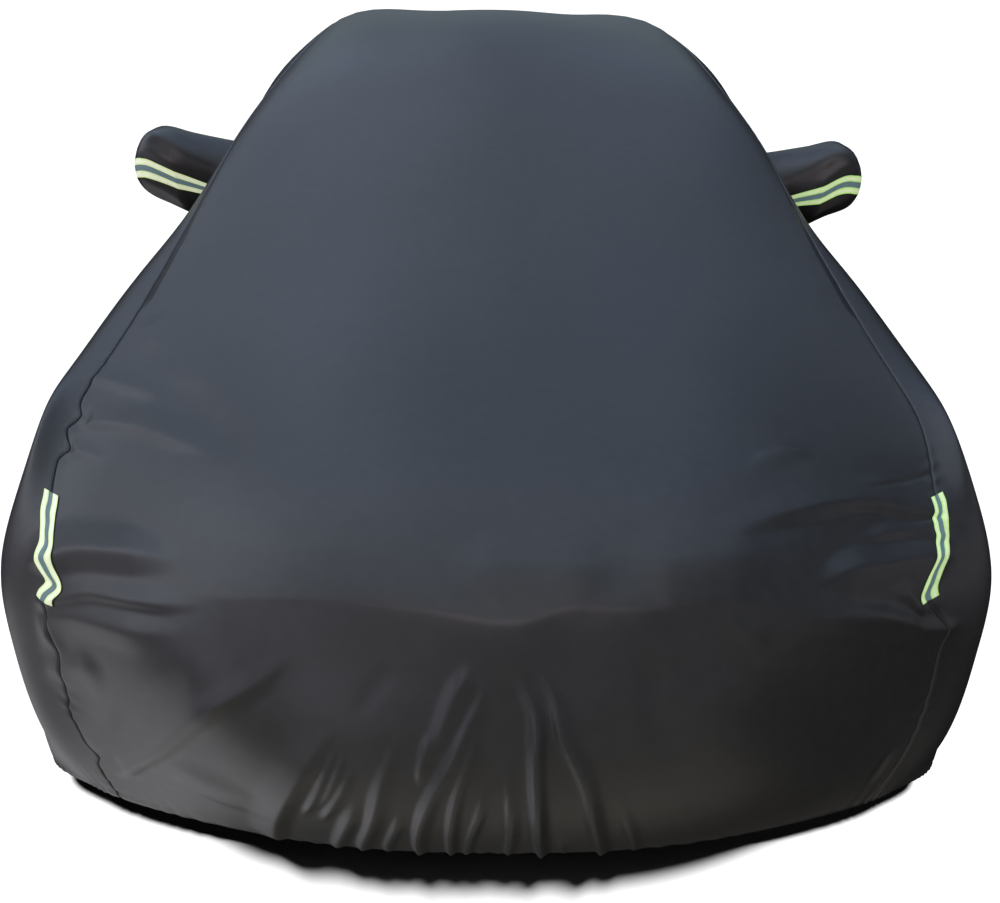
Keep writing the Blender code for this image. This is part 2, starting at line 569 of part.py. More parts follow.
cut = GAP / 2                       # each panel stops this far short of the seam's own line
make_panel("top_panel", 0, -SEAM + cut, SEAM - cut, material("centre cloth", CLOTH_COLOUR, 0.5))
for word, hand in (("left", -1), ("right", 1)):
    low, high = sorted((hand * (SEAM + cut), hand * SIDE_HEM))
    make_panel("side_panel_" + word, hand, low, high,
               material("flank cloth " + word, CLOTH_COLOUR, 0.5))
    make_pocket("mirror_pocket_" + word, hand, material("pocket cloth " + word, CLOTH_COLOUR, 0.55))
    make_seam_strip("strip_front_" + word, hand, material("front tape " + word, TAPE_COLOUR, 0.4))
    make_pocket_strip("strip_mirror_" + word, hand,
                      material("mirror tape " + word, TAPE_COLOUR, 0.4))
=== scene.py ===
"""A car cover of dark coated cloth in its drawn shape, with mirror pockets and reflective tape."""
import json
import bpy
import numpy as np
from mathutils import Matrix, Vector

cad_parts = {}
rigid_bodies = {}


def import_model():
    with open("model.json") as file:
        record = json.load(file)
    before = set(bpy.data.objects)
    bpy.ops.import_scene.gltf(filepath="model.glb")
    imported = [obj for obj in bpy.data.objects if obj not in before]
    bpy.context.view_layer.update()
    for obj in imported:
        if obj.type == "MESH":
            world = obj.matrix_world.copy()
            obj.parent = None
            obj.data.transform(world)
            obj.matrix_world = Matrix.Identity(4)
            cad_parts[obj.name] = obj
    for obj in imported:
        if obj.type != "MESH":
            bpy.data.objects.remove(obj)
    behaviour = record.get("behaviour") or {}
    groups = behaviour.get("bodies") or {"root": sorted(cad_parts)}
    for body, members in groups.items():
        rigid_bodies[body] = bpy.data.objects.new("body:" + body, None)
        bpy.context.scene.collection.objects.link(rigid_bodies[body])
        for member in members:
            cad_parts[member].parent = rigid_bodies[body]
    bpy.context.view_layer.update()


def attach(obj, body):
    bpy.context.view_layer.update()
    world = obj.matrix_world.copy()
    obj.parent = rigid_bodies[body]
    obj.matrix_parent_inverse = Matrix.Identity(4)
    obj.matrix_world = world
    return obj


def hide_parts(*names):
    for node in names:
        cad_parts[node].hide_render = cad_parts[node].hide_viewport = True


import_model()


# ---------------- the centre panel
# One long panel of coated charcoal oxford cloth, from the front hem over hood and roof to the rear
# hem.  The elastic in its turned hem draws it tight and pleats it at the front, and the seams to
# the side panels pucker it at the front corners.

CLOTH = 0.002            # thickness of the sheet
HEM = 0.10               # height of the hem over the ground
GROUND_TO_ROOF = 1.375   # outer face of the cloth at the middle of the roof
ROOF_MIDDLE = 2.62       # from the bumper's nose plane back to the middle of the roof
ORIGIN = (0.0, ROOF_MIDDLE, GROUND_TO_ROOF - CLOTH)     # the frame's, in the sections' measures
SEAM_GAP = 0.00035       # between panels that are sewn together

# Girth of each rail: centre line, hood crown, seam, window line, belt line, widest line, hem
SEAM = 0.80
SIDE_HEM = 1.98
RAILS = np.array([0.0, 0.42, SEAM, 1.00, 1.18, 1.52, SIDE_HEM])

# The sections, front to rear, measured from the bumper's nose plane and from the ground: (y, z) of
# the centre and (x, y, z) of seam and window line, then of belt line and widest line, and (x, y) of
# the hem.
SECTIONS = (
    ((0.150, 0.100), (0.740, 0.260, 0.100), (0.810, 0.290, 0.100),  # front hem
     (0.875, 0.320, 0.100), (0.920, 0.375, 0.100), (0.915, 0.450)),
    ((0.070, 0.260), (0.765, 0.255, 0.250), (0.865, 0.300, 0.240),  # bumper low
     (0.920, 0.370, 0.180), (0.955, 0.425, 0.150), (0.930, 0.510)),
    ((0.010, 0.460), (0.785, 0.285, 0.430), (0.910, 0.365, 0.420),  # bumper nose
     (0.955, 0.460, 0.310), (0.965, 0.540, 0.240), (0.930, 0.620)),
    ((0.030, 0.640), (0.795, 0.350, 0.595), (0.935, 0.450, 0.550),  # grille top
     (0.955, 0.560, 0.410), (0.965, 0.670, 0.330), (0.920, 0.765)),
    ((0.135, 0.735), (0.820, 0.460, 0.670), (0.910, 0.530, 0.660),  # hood lip
     (0.950, 0.675, 0.520), (0.965, 0.795, 0.410), (0.915, 0.910)),
    ((0.620, 0.850), (0.825, 0.770, 0.790), (0.910, 0.805, 0.770),  # hood middle
     (0.950, 0.925, 0.655), (0.965, 1.005, 0.500), (0.910, 1.125)),
    ((1.120, 0.980), (0.785, 1.185, 0.920), (0.860, 1.215, 0.880),  # cowl
     (0.925, 1.300, 0.800), (0.965, 1.365, 0.550), (0.910, 1.420)),
    ((1.620, 1.200), (0.710, 1.660, 1.130), (0.765, 1.660, 1.020),  # windscreen
     (0.855, 1.670, 0.890), (0.960, 1.690, 0.580), (0.905, 1.700)),
    ((2.060, 1.355), (0.620, 2.060, 1.270), (0.755, 2.060, 1.140),  # header
     (0.865, 2.060, 0.920), (0.965, 2.060, 0.590), (0.900, 2.060)),
    ((2.620, 1.375), (0.595, 2.620, 1.325), (0.720, 2.620, 1.180),  # roof middle
     (0.850, 2.620, 0.940), (0.965, 2.620, 0.600), (0.900, 2.620)),
    ((3.300, 1.335), (0.575, 3.280, 1.285), (0.720, 3.270, 1.150),  # roof rear
     (0.865, 3.260, 0.950), (0.960, 3.250, 0.600), (0.900, 3.240)),
    ((3.800, 1.230), (0.620, 3.740, 1.190), (0.760, 3.700, 1.090),  # rear window
     (0.880, 3.680, 0.950), (0.955, 3.650, 0.600), (0.900, 3.620)),
    ((4.220, 1.100), (0.700, 4.120, 1.065), (0.810, 4.070, 1.010),  # boot front
     (0.890, 4.020, 0.920), (0.950, 3.960, 0.600), (0.900, 3.900)),
    ((4.660, 1.045), (0.760, 4.500, 1.010), (0.830, 4.420, 0.965),  # boot lip
     (0.885, 4.340, 0.880), (0.940, 4.200, 0.580), (0.895, 4.100)),
    ((4.800, 0.920), (0.780, 4.600, 0.890), (0.835, 4.530, 0.840),  # tail top
     (0.875, 4.450, 0.750), (0.925, 4.320, 0.520), (0.885, 4.220)),
    ((4.860, 0.600), (0.780, 4.640, 0.580), (0.820, 4.590, 0.540),  # tail nose
     (0.860, 4.530, 0.460), (0.900, 4.440, 0.320), (0.860, 4.360)),
    ((4.840, 0.320), (0.760, 4.640, 0.300), (0.790, 4.600, 0.280),  # tail low
     (0.820, 4.560, 0.240), (0.850, 4.510, 0.170), (0.830, 4.460)),
    ((4.760, 0.100), (0.720, 4.580, 0.100), (0.745, 4.555, 0.100),  # rear hem
     (0.765, 4.530, 0.100), (0.780, 4.500, 0.100), (0.795, 4.470)),
)
CROWN_OUT = 1.02         # how far out the crown rail lies, against its share of the girth
CROWN_FALL = 2.2         # exponent of its fall towards the seam

# The folds, from the hem up.  Each one runs along a smooth path of places (along the cloth from the
# front hem, girth from its centre line).  Next, in millimetres: how far its crest lies aside of the
# path (+ to the right), how far its left and its right flank reach, its height (a hollow where
# negative) and how wide its crest is rounded.  Last: the shares of its run in which it rises and
# sinks.
FOLDS = (
    # pleats that the elastic of the front hem gathers, left to right
    (((0.497, -0.251), (0.463, -0.276), (0.391, -0.316), (0.304, -0.354), (0.056, -0.429),
      (0.000, -0.442)), (4, 45, 20, 12, 3), (0.25, 0.0)),
    (((0.449, -0.269), (0.373, -0.306)), (4, 5, 8, 3.8, 1.5), (0.4, 0.4)),
    (((0.471, -0.249), (0.407, -0.276), (0.365, -0.291), (0.234, -0.346)), (4, 6, 10, 6, 1.5),
      (0.3, 0.4)),
    (((0.459, -0.241), (0.353, -0.279), (0.290, -0.306)), (4, 5, 10, 4.5, 1.5), (0.3, 0.4)),
    (((0.437, -0.226), (0.348, -0.264), (0.222, -0.316)), (4, 6, 12, 6, 1.5), (0.3, 0.4)),
    (((0.355, -0.229), (0.268, -0.256), (0.148, -0.291), (0.000, -0.330)), (4, 14, 16, 9, 2.8),
      (0.3, 0.0)),
    (((0.499, -0.159), (0.423, -0.184), (0.308, -0.211), (0.110, -0.259), (0.000, -0.280)),
      (4, 12, 20, 10.5, 2.8), (0.3, 0.0)),
    (((0.346, -0.164), (0.292, -0.174), (0.158, -0.204), (0.000, -0.232)), (4, 9, 16, 7.5, 2.1),
      (0.3, 0.0)),
    (((0.509, -0.114), (0.461, -0.126), (0.395, -0.136)), (4, 6, 14, 6.8, 2.1), (0.3, 0.4)),
    (((0.631, -0.059), (0.589, -0.074), (0.525, -0.094), (0.440, -0.118)), (4, 14, 25, 7.5, 4.2),
      (0.3, 0.4)),
    (((0.621, -0.044), (0.565, -0.044), (0.525, -0.058), (0.459, -0.084), (0.397, -0.111),
      (0.288, -0.139), (0.066, -0.161), (0.000, -0.167)), (4, 11, 21, 12, 2.1), (0.3, 0.0)),
    (((0.527, -0.041), (0.459, -0.059), (0.397, -0.076), (0.330, -0.086), (0.054, -0.101),
      (0.000, -0.104)), (4, 9, 16, 10.5, 2.1), (0.2, 0.0)),
    (((0.435, -0.034), (0.373, -0.039), (0.254, -0.056), (0.058, -0.069), (0.000, -0.072)),
      (4, 8, 14, 7.5, 2.1), (0.3, 0.0)),
    (((0.467, -0.009), (0.433, -0.004), (0.334, 0.004), (0.032, 0.011), (0.000, 0.012)),
      (4, 8, 18, 9, 2.1), (0.3, 0.0)),
    (((0.613, 0.006), (0.575, 0.016), (0.527, 0.034), (0.483, 0.036), (0.389, 0.041),
      (0.272, 0.051), (0.010, 0.081)), (4, 12, 19, 14.2, 2.1), (0.25, 0.0)),
    (((0.631, 0.031), (0.589, 0.046), (0.553, 0.060), (0.507, 0.070), (0.469, 0.086),
      (0.417, 0.109), (0.334, 0.129), (0.030, 0.196), (0.000, 0.202)), (4, 8, 23, 12.8, 2.1),
      (0.25, 0.0)),
    (((0.220, 0.089), (0.010, 0.126)), (4, 5, 12, 4.5, 1.5), (0.4, 0.0)),
    (((0.387, 0.179), (0.338, 0.181), (0.242, 0.204), (0.022, 0.264)), (4, 5, 18, 7.5, 2.1),
      (0.4, 0.0)),
    # hollows and a hump beside the pleats
    (((0.630, -0.160), (0.580, -0.186), (0.500, -0.230)), (0, 16, 16, -2, 8), (0.5, 0.5)),
    (((0.643, 0.189), (0.583, 0.209), (0.523, 0.216), (0.417, 0.279)), (0, 24, 24, -5, 8),
      (0.3, 0.4)),
    (((0.244, 0.744), (0.086, 0.734)), (0, 12, 12, -3, 4), (0.4, 0.3)),
    (((0.340, -0.475), (0.170, -0.490)), (0, 60, 60, 6, 30), (0.4, 0.4)),
    # light folds of the hood over its lip
    (((0.745, -0.090), (0.757, -0.021), (0.760, 0.064), (0.752, 0.165)), (0, 55, 60, 6, 14),
      (0.3, 0.3)),
    (((0.750, 0.165), (0.757, 0.210), (0.759, 0.276), (0.738, 0.400)), (0, 55, 60, 6, 14),
      (0.3, 0.3)),
    (((0.687, 0.289), (0.657, 0.324), (0.631, 0.364), (0.603, 0.397)), (0, 14, 20, 4, 6),
      (0.4, 0.4)),
    # folds drawn in to the left front corner; most start at the seam
    (((0.600, -0.800), (0.625, -0.749), (0.670, -0.624), (0.698, -0.519), (0.702, -0.464)),
      (0, 34, 55, 17, 4), (0.0, 0.35)),
    (((0.520, -0.800), (0.537, -0.774), (0.605, -0.582), (0.651, -0.437)), (0, 12, 30, 9, 2.5),
      (0.0, 0.3)),
    (((0.460, -0.810), (0.471, -0.802), (0.549, -0.609), (0.603, -0.462)), (0, 36, 34, 11, 3),
      (0.0, 0.4)),
    (((0.390, -0.800), (0.399, -0.787), (0.431, -0.717), (0.453, -0.659)), (0, 50, 30, 7, 4),
      (0.0, 0.4)),
    (((0.168, -0.809), (0.280, -0.712), (0.387, -0.654), (0.469, -0.582), (0.549, -0.497),
      (0.589, -0.452)), (0, 22, 50, 6, 5), (0.15, 0.3)),
    (((0.106, -0.762), (0.379, -0.549), (0.499, -0.447), (0.555, -0.382), (0.595, -0.346),
      (0.629, -0.311)), (-12, 24, 26, 14, 5), (0.2, 0.35)),
    (((1.138, -0.800), (1.138, -0.774), (1.118, -0.679), (1.098, -0.607), (1.084, -0.559)),
      (0, 12, 60, 5, 3), (0.0, 0.5)),
    (((0.969, -0.777), (0.987, -0.672), (0.989, -0.619), (0.971, -0.557), (0.955, -0.489),
      (0.931, -0.437)), (0, 22, 70, 7, 8), (0.1, 0.4)),
    (((0.865, -0.790), (0.868, -0.720), (0.873, -0.659)), (0, 18, 40, 4, 5), (0.1, 0.5)),
    (((1.204, -0.629), (1.066, -0.529), (1.009, -0.477), (0.915, -0.387)), (0, 50, 50, -6, 20),
      (0.3, 0.4)),
    (((1.457, -0.732), (1.344, -0.687), (1.258, -0.657)), (0, 60, 20, 6, 4), (0.35, 0.35)),
    # folds drawn in to the right front corner; most run out to the seam
    (((0.935, 0.372), (0.961, 0.422), (0.975, 0.469), (0.965, 0.517)), (0, 30, 16, 4, 6),
      (0.4, 0.4)),
    (((0.795, 0.299), (0.809, 0.349), (0.823, 0.407), (0.829, 0.467), (0.825, 0.532),
      (0.805, 0.604), (0.781, 0.644), (0.731, 0.769), (0.715, 0.800)), (0, 28, 60, 9, 6),
      (0.35, 0.0)),
    (((0.805, 0.507), (0.799, 0.547), (0.763, 0.632), (0.745, 0.664), (0.717, 0.777),
      (0.710, 0.800)), (0, 9, 7, -5, 2.5), (0.3, 0.0)),
    (((0.743, 0.534), (0.733, 0.592), (0.679, 0.779), (0.672, 0.800)), (0, 12, 25, 6, 3),
      (0.3, 0.0)),
    (((0.661, 0.452), (0.687, 0.489), (0.679, 0.567), (0.641, 0.747), (0.630, 0.800)),
      (0, 50, 40, 16, 4), (0.25, 0.0)),
    (((0.631, 0.592), (0.609, 0.659), (0.553, 0.782)), (-6, 16, 14, 6, 3), (0.4, 0.1)),
    (((0.623, 0.519), (0.591, 0.592), (0.553, 0.667), (0.525, 0.759)), (0, 8, 15, 3, 2),
      (0.4, 0.3)),
    (((0.665, 0.407), (0.625, 0.512), (0.559, 0.649), (0.493, 0.789), (0.488, 0.800)),
      (0, 34, 20, 8, 3), (0.3, 0.0)),
    (((0.851, 0.554), (0.841, 0.634), (0.829, 0.792)), (0, 8, 8, -2, 3), (0.4, 0.1)),
    # slack beside the windscreen, on the flanks and round the tail
    (((2.300, -0.745), (2.112, -0.640), (1.907, -0.617)), (0, 60, 30, 5, 15), (0.3, 0.4)),
    (((1.896, -0.682), (1.810, -0.729), (1.695, -0.772)), (0, 20, 20, -6, 6), (0.4, 0.2)),
    (((2.10, -1.25), (1.83, -1.48), (1.55, -1.75)), (0, 60, 60, 7, 20), (0.4, 0.4)),
    (((3.70, -1.25), (3.95, -1.52), (4.20, -1.76)), (0, 60, 60, 7, 20), (0.4, 0.4)),
    (((2.05, 1.26), (1.77, 1.49), (1.50, 1.76)), (0, 60, 60, 7, 20), (0.4, 0.4)),
    (((3.75, 1.26), (4.00, 1.53), (4.25, 1.74)), (0, 60, 60, 7, 20), (0.4, 0.4)),
    (((1.35, -1.00), (1.05, -1.35), (0.80, -1.72)), (0, 50, 70, 6, 18), (0.3, 0.4)),
    (((1.38, 1.02), (1.10, 1.36), (0.84, 1.74)), (0, 70, 50, 6, 18), (0.3, 0.4)),
    (((5.75, -0.300), (6.06, -0.350), (6.40, -0.420)), (0, 40, 30, 9, 8), (0.4, 0.0)),
    (((5.80, 0.020), (6.10, 0.050), (6.40, 0.060)), (0, 36, 26, 8, 7), (0.4, 0.0)),
    (((5.75, 0.320), (6.05, 0.370), (6.40, 0.450)), (0, 30, 40, 9, 8), (0.4, 0.0)),
    (((5.98, -0.120), (6.40, -0.170)), (0, 22, 16, 5, 5), (0.4, 0.0)),
    (((6.00, 0.180), (6.40, 0.230)), (0, 18, 24, 5, 5), (0.4, 0.0)),
)

# The lip of the hood, where the cloth turns down over its front edge, with a dip in the middle.
LIP = ((0.640, -0.520), (0.671, -0.397), (0.687, -0.294), (0.695, -0.154), (0.681, -0.044),
       (0.679, 0.015), (0.693, 0.064), (0.695, 0.181), (0.691, 0.309), (0.665, 0.407),
       (0.637, 0.462), (0.603, 0.529), (0.559, 0.627), (0.493, 0.789))
LIP_FALL = 0.46          # how much more steeply the cloth falls below the lip
LIP_RUN = 0.170          # how far down that reaches
LIP_EDGE = 0.004         # how softly the cloth turns there
LIP_START = 0.16         # shares of the lip in which the fall comes in and goes out
LIP_END = 0.30

# Where the folds of the front corners push the seam sideways: side, along, spread along, push.
SEAM_KINKS = (
    (-1, 0.985, 0.035, -0.026),
    (-1, 0.868, 0.030, -0.030),
    (-1, 0.615, 0.045, -0.018),
    (-1, 0.556, 0.024, -0.024),
    (-1, 0.410, 0.060, -0.012),
    (-1, 0.280, 0.030,  0.012),
    (-1, 0.165, 0.024, -0.024),
    (+1, 0.720, 0.240, -0.042),
    (+1, 0.580, 0.055, -0.050),
    (+1, 0.480, 0.030,  0.014),
)
KINK_GIRTH = 0.09        # how far to each side of the seam the cloth goes with it


def spline_weights(knots, at):
    """Weights (places, knots) that give a natural cubic spline through values at the knots."""
    count = len(knots)
    step = np.diff(knots)
    bend = np.eye(count)
    load = np.zeros((count, count))
    for i in range(1, count - 1):
        bend[i, i - 1:i + 2] = step[i - 1], 2 * (step[i - 1] + step[i]), step[i]
        load[i, i - 1:i + 2] = 6 / step[i - 1], -6 / step[i - 1] - 6 / step[i], 6 / step[i]
    curve = np.linalg.solve(bend, load)
    i = np.clip(np.searchsorted(knots, at, side="right") - 1, 0, count - 2)
    span = step[i][:, None]
    a = (knots[i + 1] - at)[:, None] / span
    b = 1 - a
    one = np.eye(count)
    return (a * one[i] + b * one[i + 1]
            + ((a**3 - a) * curve[i] + (b**3 - b) * curve[i + 1]) * span**2 / 6)


def run_along(points):
    """How far along a line of points each one lies from the first."""
    return np.concatenate(((0.0,), np.cumsum(np.linalg.norm(np.diff(points, axis=0), axis=1))))


def rail_points():
    """Points (sections, rails of both sides, 3) of the net, and the sections' places along."""
    rows = []
    for centre, seam, window, belt, widest, hem in SECTIONS:
        middle = np.array((0.0, *centre))
        share = RAILS[1] / RAILS[2]
        fall = (np.array(seam) - middle) * (share * CROWN_OUT, share**CROWN_FALL, share**CROWN_FALL)
        half = np.array((middle, middle + fall, seam, window, belt, widest, (*hem, HEM)))
        rows.append(np.concatenate((half[:0:-1] * (-1, 1, 1), half)))
    net = np.array(rows)
    along = run_along(net[:, len(RAILS) - 1])
    return net - ORIGIN, along


NET, SECTION_ALONG = rail_points()
NET_GIRTH = np.concatenate((-RAILS[:0:-1], RAILS))
LENGTH = SECTION_ALONG[-1]


def smooth_point(along, girth):
    """The cloth without folds: splines over the sections and the rails; kinks shift it sideways."""
    side = np.sign(girth)
    shift = np.zeros_like(girth)
    for kink_side, at, spread, push in SEAM_KINKS:
        shift += push * (side == kink_side) * np.exp(-((along - at) / spread)**2)
    girth = girth + side * shift * np.exp(-((np.abs(girth) - SEAM) / KINK_GIRTH)**2)
    return np.einsum("ps,pr,srx->px", spline_weights(SECTION_ALONG, along),
                     spline_weights(NET_GIRTH, girth), NET, optimize=True)


def smooth_path(path, count=121):
    """Points of a path: a natural cubic spline over the path's own chord length."""
    path = np.array(path)
    chord = run_along(path)
    return spline_weights(chord, np.linspace(0, chord[-1], count)) @ path, chord[-1]


def beside_path(places, path, reach):
    """Where places lie by a path.

    Gives which are near it, how far they lie to its right and past its ends, and their share of it.
    """
    line, run = smooth_path(path)
    near = np.all((places > line.min(0) - reach) & (places < line.max(0) + reach), axis=1)
    apart = places[near][:, None] - line
    nearest = np.argmin((apart**2).sum(2), axis=1)
    heading = np.gradient(line, axis=0)[nearest]
    heading /= np.linalg.norm(heading, axis=1)[:, None]
    off = apart[np.arange(len(nearest)), nearest]
    across = off[:, 0] * heading[:, 1] - off[:, 1] * heading[:, 0]
    past = (off * heading).sum(1)
    share = nearest / (len(line) - 1) + past / run
    return near, across, np.where((share < 0) | (share > 1), past, 0), share


def ease(share):
    """A soft rise from 0 to 1 as the share goes from 0 to 1: the square of a quarter sine."""
    return np.sin(np.clip(share, 0, 1) * np.pi / 2)**2


FOOT = 0.2               # how softly a fold's flanks run out, as a share of their reach
FADED_REACH = 0.45       # share of its reach that a flank keeps where the fold has faded
HEM_HEIGHT = 0.40        # share of its height that a fold keeps at the front hem
HEM_FADE = 0.07          # how far up from the hem it is held down


def fold_height(places, folds):
    """All the folds: each a rounded tent across its path, steep on one flank, gentle on the other.

    With x across the path, w the flank's reach and c the rounding of the crest, the distance down
    the flank is t = (sqrt(x^2 + c^2) - c) / w, and the height falls as a softened ramp of 1 - t.
    """
    height = np.zeros(len(places))
    for path, measures, (rise, sink) in folds:
        aside, left, right, top, crest = (number / 1000 for number in measures)
        widest = max(left, right)
        near, across, past, share = beside_path(places, path, 2.5 * widest + abs(aside))
        across = across - aside
        strength = np.exp(-(past / widest)**2)
        if rise:
            strength *= ease(share / rise)
        if sink:
            strength *= ease((1 - share) / sink)
        strength *= HEM_HEIGHT + (1 - HEM_HEIGHT) * ease(places[near, 0] / HEM_FADE)
        flank = np.where(across < 0, left, right) * (FADED_REACH + (1 - FADED_REACH) * strength)
        ramp = 1 - (np.sqrt(across**2 + crest**2) - crest) / flank
        height[near] += (top * strength * (ramp + np.sqrt(ramp**2 + FOOT**2))
                         / (1 + np.sqrt(1 + FOOT**2)))
    return height


def lip_fall(places):
    """The steep fall below the lip: a softened ramp of the way down, times a Gaussian of it."""
    near, across, past, share = beside_path(places, LIP, 2.5 * LIP_RUN)
    ramp = (np.sqrt(across**2 + LIP_EDGE**2) - across) / 2
    fade = ease(share / LIP_START) * ease((1.05 - share) / LIP_END)
    height = np.zeros(len(places))
    height[near] = -LIP_FALL * ramp * np.exp(-(across / LIP_RUN)**2 - (past / 0.08)**2) * fade
    return height


INSIDE = 0.02            # the slopes are taken at least this far in from the hems


def normal(surface, along, girth, reach=0.002):
    """Outward unit normals of a surface: the cross product of its two slopes."""
    along = np.clip(along, INSIDE, LENGTH - INSIDE)
    girth = np.clip(girth, INSIDE - SIDE_HEM, SIDE_HEM - INSIDE)
    forward = surface(along + reach, girth) - surface(along - reach, girth)
    sideways = surface(along, girth + reach) - surface(along, girth - reach)
    out = np.cross(sideways, forward)
    return out / np.linalg.norm(out, axis=1)[:, None]


def ripple(at, pitch, phase=0.0):
    """Uneven ripples: a sine whose phase wanders, so that no two gathers are alike."""
    wander = 1.9 * np.sin(at / pitch * 0.83 + 1.7 + phase) + 1.3 * np.sin(at / pitch * 0.37 + phase)
    return np.sin(2 * np.pi * at / pitch + wander + phase)


def small_folds(along, girth):
    """Gathers at the elastic hem and puckers along the seams, both dying out into the cloth.

    Each is a height times a ripple of some pitch times a Gaussian of how far away the edge is.  The
    seam also lies in a groove, and the turned hem is stitched down 26 mm from its edge.
    """
    to_front = along
    to_rear = LENGTH - along
    to_side = SIDE_HEM - np.abs(girth)
    to_seam = np.abs(girth) - SEAM
    uneven = 0.5 + 0.5 * ripple(girth, 0.37)
    gathers = 0.0010 * uneven * ripple(girth, 0.041) * np.exp(-(to_front / 0.060)**2)
    gathers += 0.0018 * ripple(girth, 0.057, 2.0) * np.exp(-(to_rear / 0.080)**2)
    gathers += 0.0016 * ripple(along, 0.083, np.sign(girth)) * np.exp(-(to_side / 0.060)**2)
    uneven = 0.5 + 0.5 * ripple(along, 0.27, 0.4 + np.sign(girth))
    puckers = 0.0012 * uneven * ripple(along, 0.037, np.sign(girth)) * np.exp(-(to_seam / 0.024)**2)
    puckers *= np.clip((2.2 - along) / 0.6, 0.25, 1)
    groove = -0.0020 * np.exp(-(to_seam / 0.0045)**2)
    turned = np.minimum(np.minimum(to_front, to_rear), to_side)
    fold_in = -0.0007 * np.exp(-((turned - 0.026) / 0.0045)**2)
    return gathers + puckers + groove + fold_in


def slack(along, girth):
    """Large soft waves of cloth that lies loosely: three crossed sines, still at the front hem."""
    waves = (np.sin(7.1 * along + 3.0 * girth + 0.6) * np.sin(5.3 * girth - 1.9 * along)
             + 0.6 * np.sin(11.3 * along - 7.7 * girth + 2.0)
             + 0.5 * np.sin(3.1 * along + 12.9 * girth + 1.1))
    return 0.0012 * waves * np.clip(along / 0.3, 0, 1)


def cloth_height(along, girth):
    """How far the cloth stands out from its smooth shape."""
    places = np.stack((along, girth), 1)
    return (fold_height(places, FOLDS) + lip_fall(places) + small_folds(along, girth)
            + slack(along, girth))


def cloth_point(along, girth):
    """Points of the outer face of the cloth, with its folds."""
    out = normal(smooth_point, along, girth)
    return smooth_point(along, girth) + cloth_height(along, girth)[:, None] * out


def spread(*zones):
    """Places from zone to zone: each zone is (end, spacing), and the first one is (start, None)."""
    places = [np.array([zones[0][0]])]
    for (start, _), (end, size) in zip(zones[:-1], zones[1:]):
        places.append(np.linspace(start, end, max(2, int(round((end - start) / size)) + 1))[1:])
    return np.concatenate(places)


def grid_faces(rows, columns, first=0):
    """Quads of a grid of rows by columns, numbered from first, facing outwards."""
    a = first + (np.arange(rows - 1)[:, None] * columns + np.arange(columns - 1)).ravel()
    return np.stack((a, a + 1, a + columns + 1, a + columns), 1)


def mesh_piece(name, points, faces, uv, angle=70):
    """A smooth-shaded mesh object of the points and faces, with a UV of metres along and across."""
    mesh = bpy.data.meshes.new(name)
    mesh.from_pydata(points.tolist(), [], [face for block in faces for face in block.tolist()])
    mesh.update()
    mesh.shade_smooth()
    mesh.set_sharp_from_angle(angle=np.radians(angle))
    corners = np.empty(len(mesh.loops), dtype=np.int32)
    mesh.loops.foreach_get("vertex_index", corners)
    mesh.uv_layers.new(name="metres").data.foreach_set("uv", uv[corners].ravel())
    piece = bpy.data.objects.new(name, mesh)
    bpy.context.scene.collection.objects.link(piece)
    return piece


def thicken(piece, thickness):
    """Give a sheet its thickness inwards, with a rim."""
    wall = piece.modifiers.new("wall", "SOLIDIFY")
    wall.thickness = thickness
    wall.offset = -1.0
    wall.use_rim = True
    wall.use_even_offset = False


# Rows of the mesh along the cloth: (to, spacing, how many columns wide a face is).  They are
# closest over the hood's lip and the front corners, and beside the mirrors.
ROW_ZONES = (
    (0.28, 0.0135, 1),
    (0.56, 0.0080, 1),
    (0.86, 0.0047, 1),
    (1.02, 0.0090, 1),
    (1.46, 0.0140, 2),
    (2.11, 0.0400, 6),
    (2.34, 0.0115, 6),
    (5.60, 0.0620, 6),
    (LENGTH, 0.0240, 3),
)
TOP_FACES_ACROSS = 264               # a multiple of six, for the widest faces
PLEATED = (-0.46, 0.31)              # girths between which the pleats need close columns


def top_columns():
    """Girths of the centre panel's columns: even steps under a density curve.

    The density is two and a half times as high over the pleats, between two logistic steps, and
    has a narrow Gaussian peak at each seam.
    """
    edge = SEAM - SEAM_GAP / 2
    girth = np.linspace(-edge, edge, 4001)
    pleated = 1 / (1 + np.exp((girth - PLEATED[1]) / 0.02))
    pleated /= 1 + np.exp((PLEATED[0] - girth) / 0.02)
    density = 1 + 1.5 * pleated + 2.2 * np.exp(-((edge - np.abs(girth)) / 0.018)**2)
    share = np.concatenate(((0.0,), np.cumsum((density[1:] + density[:-1]) / 2)))
    return np.interp(np.linspace(0, share[-1], TOP_FACES_ACROSS + 1), share, girth)


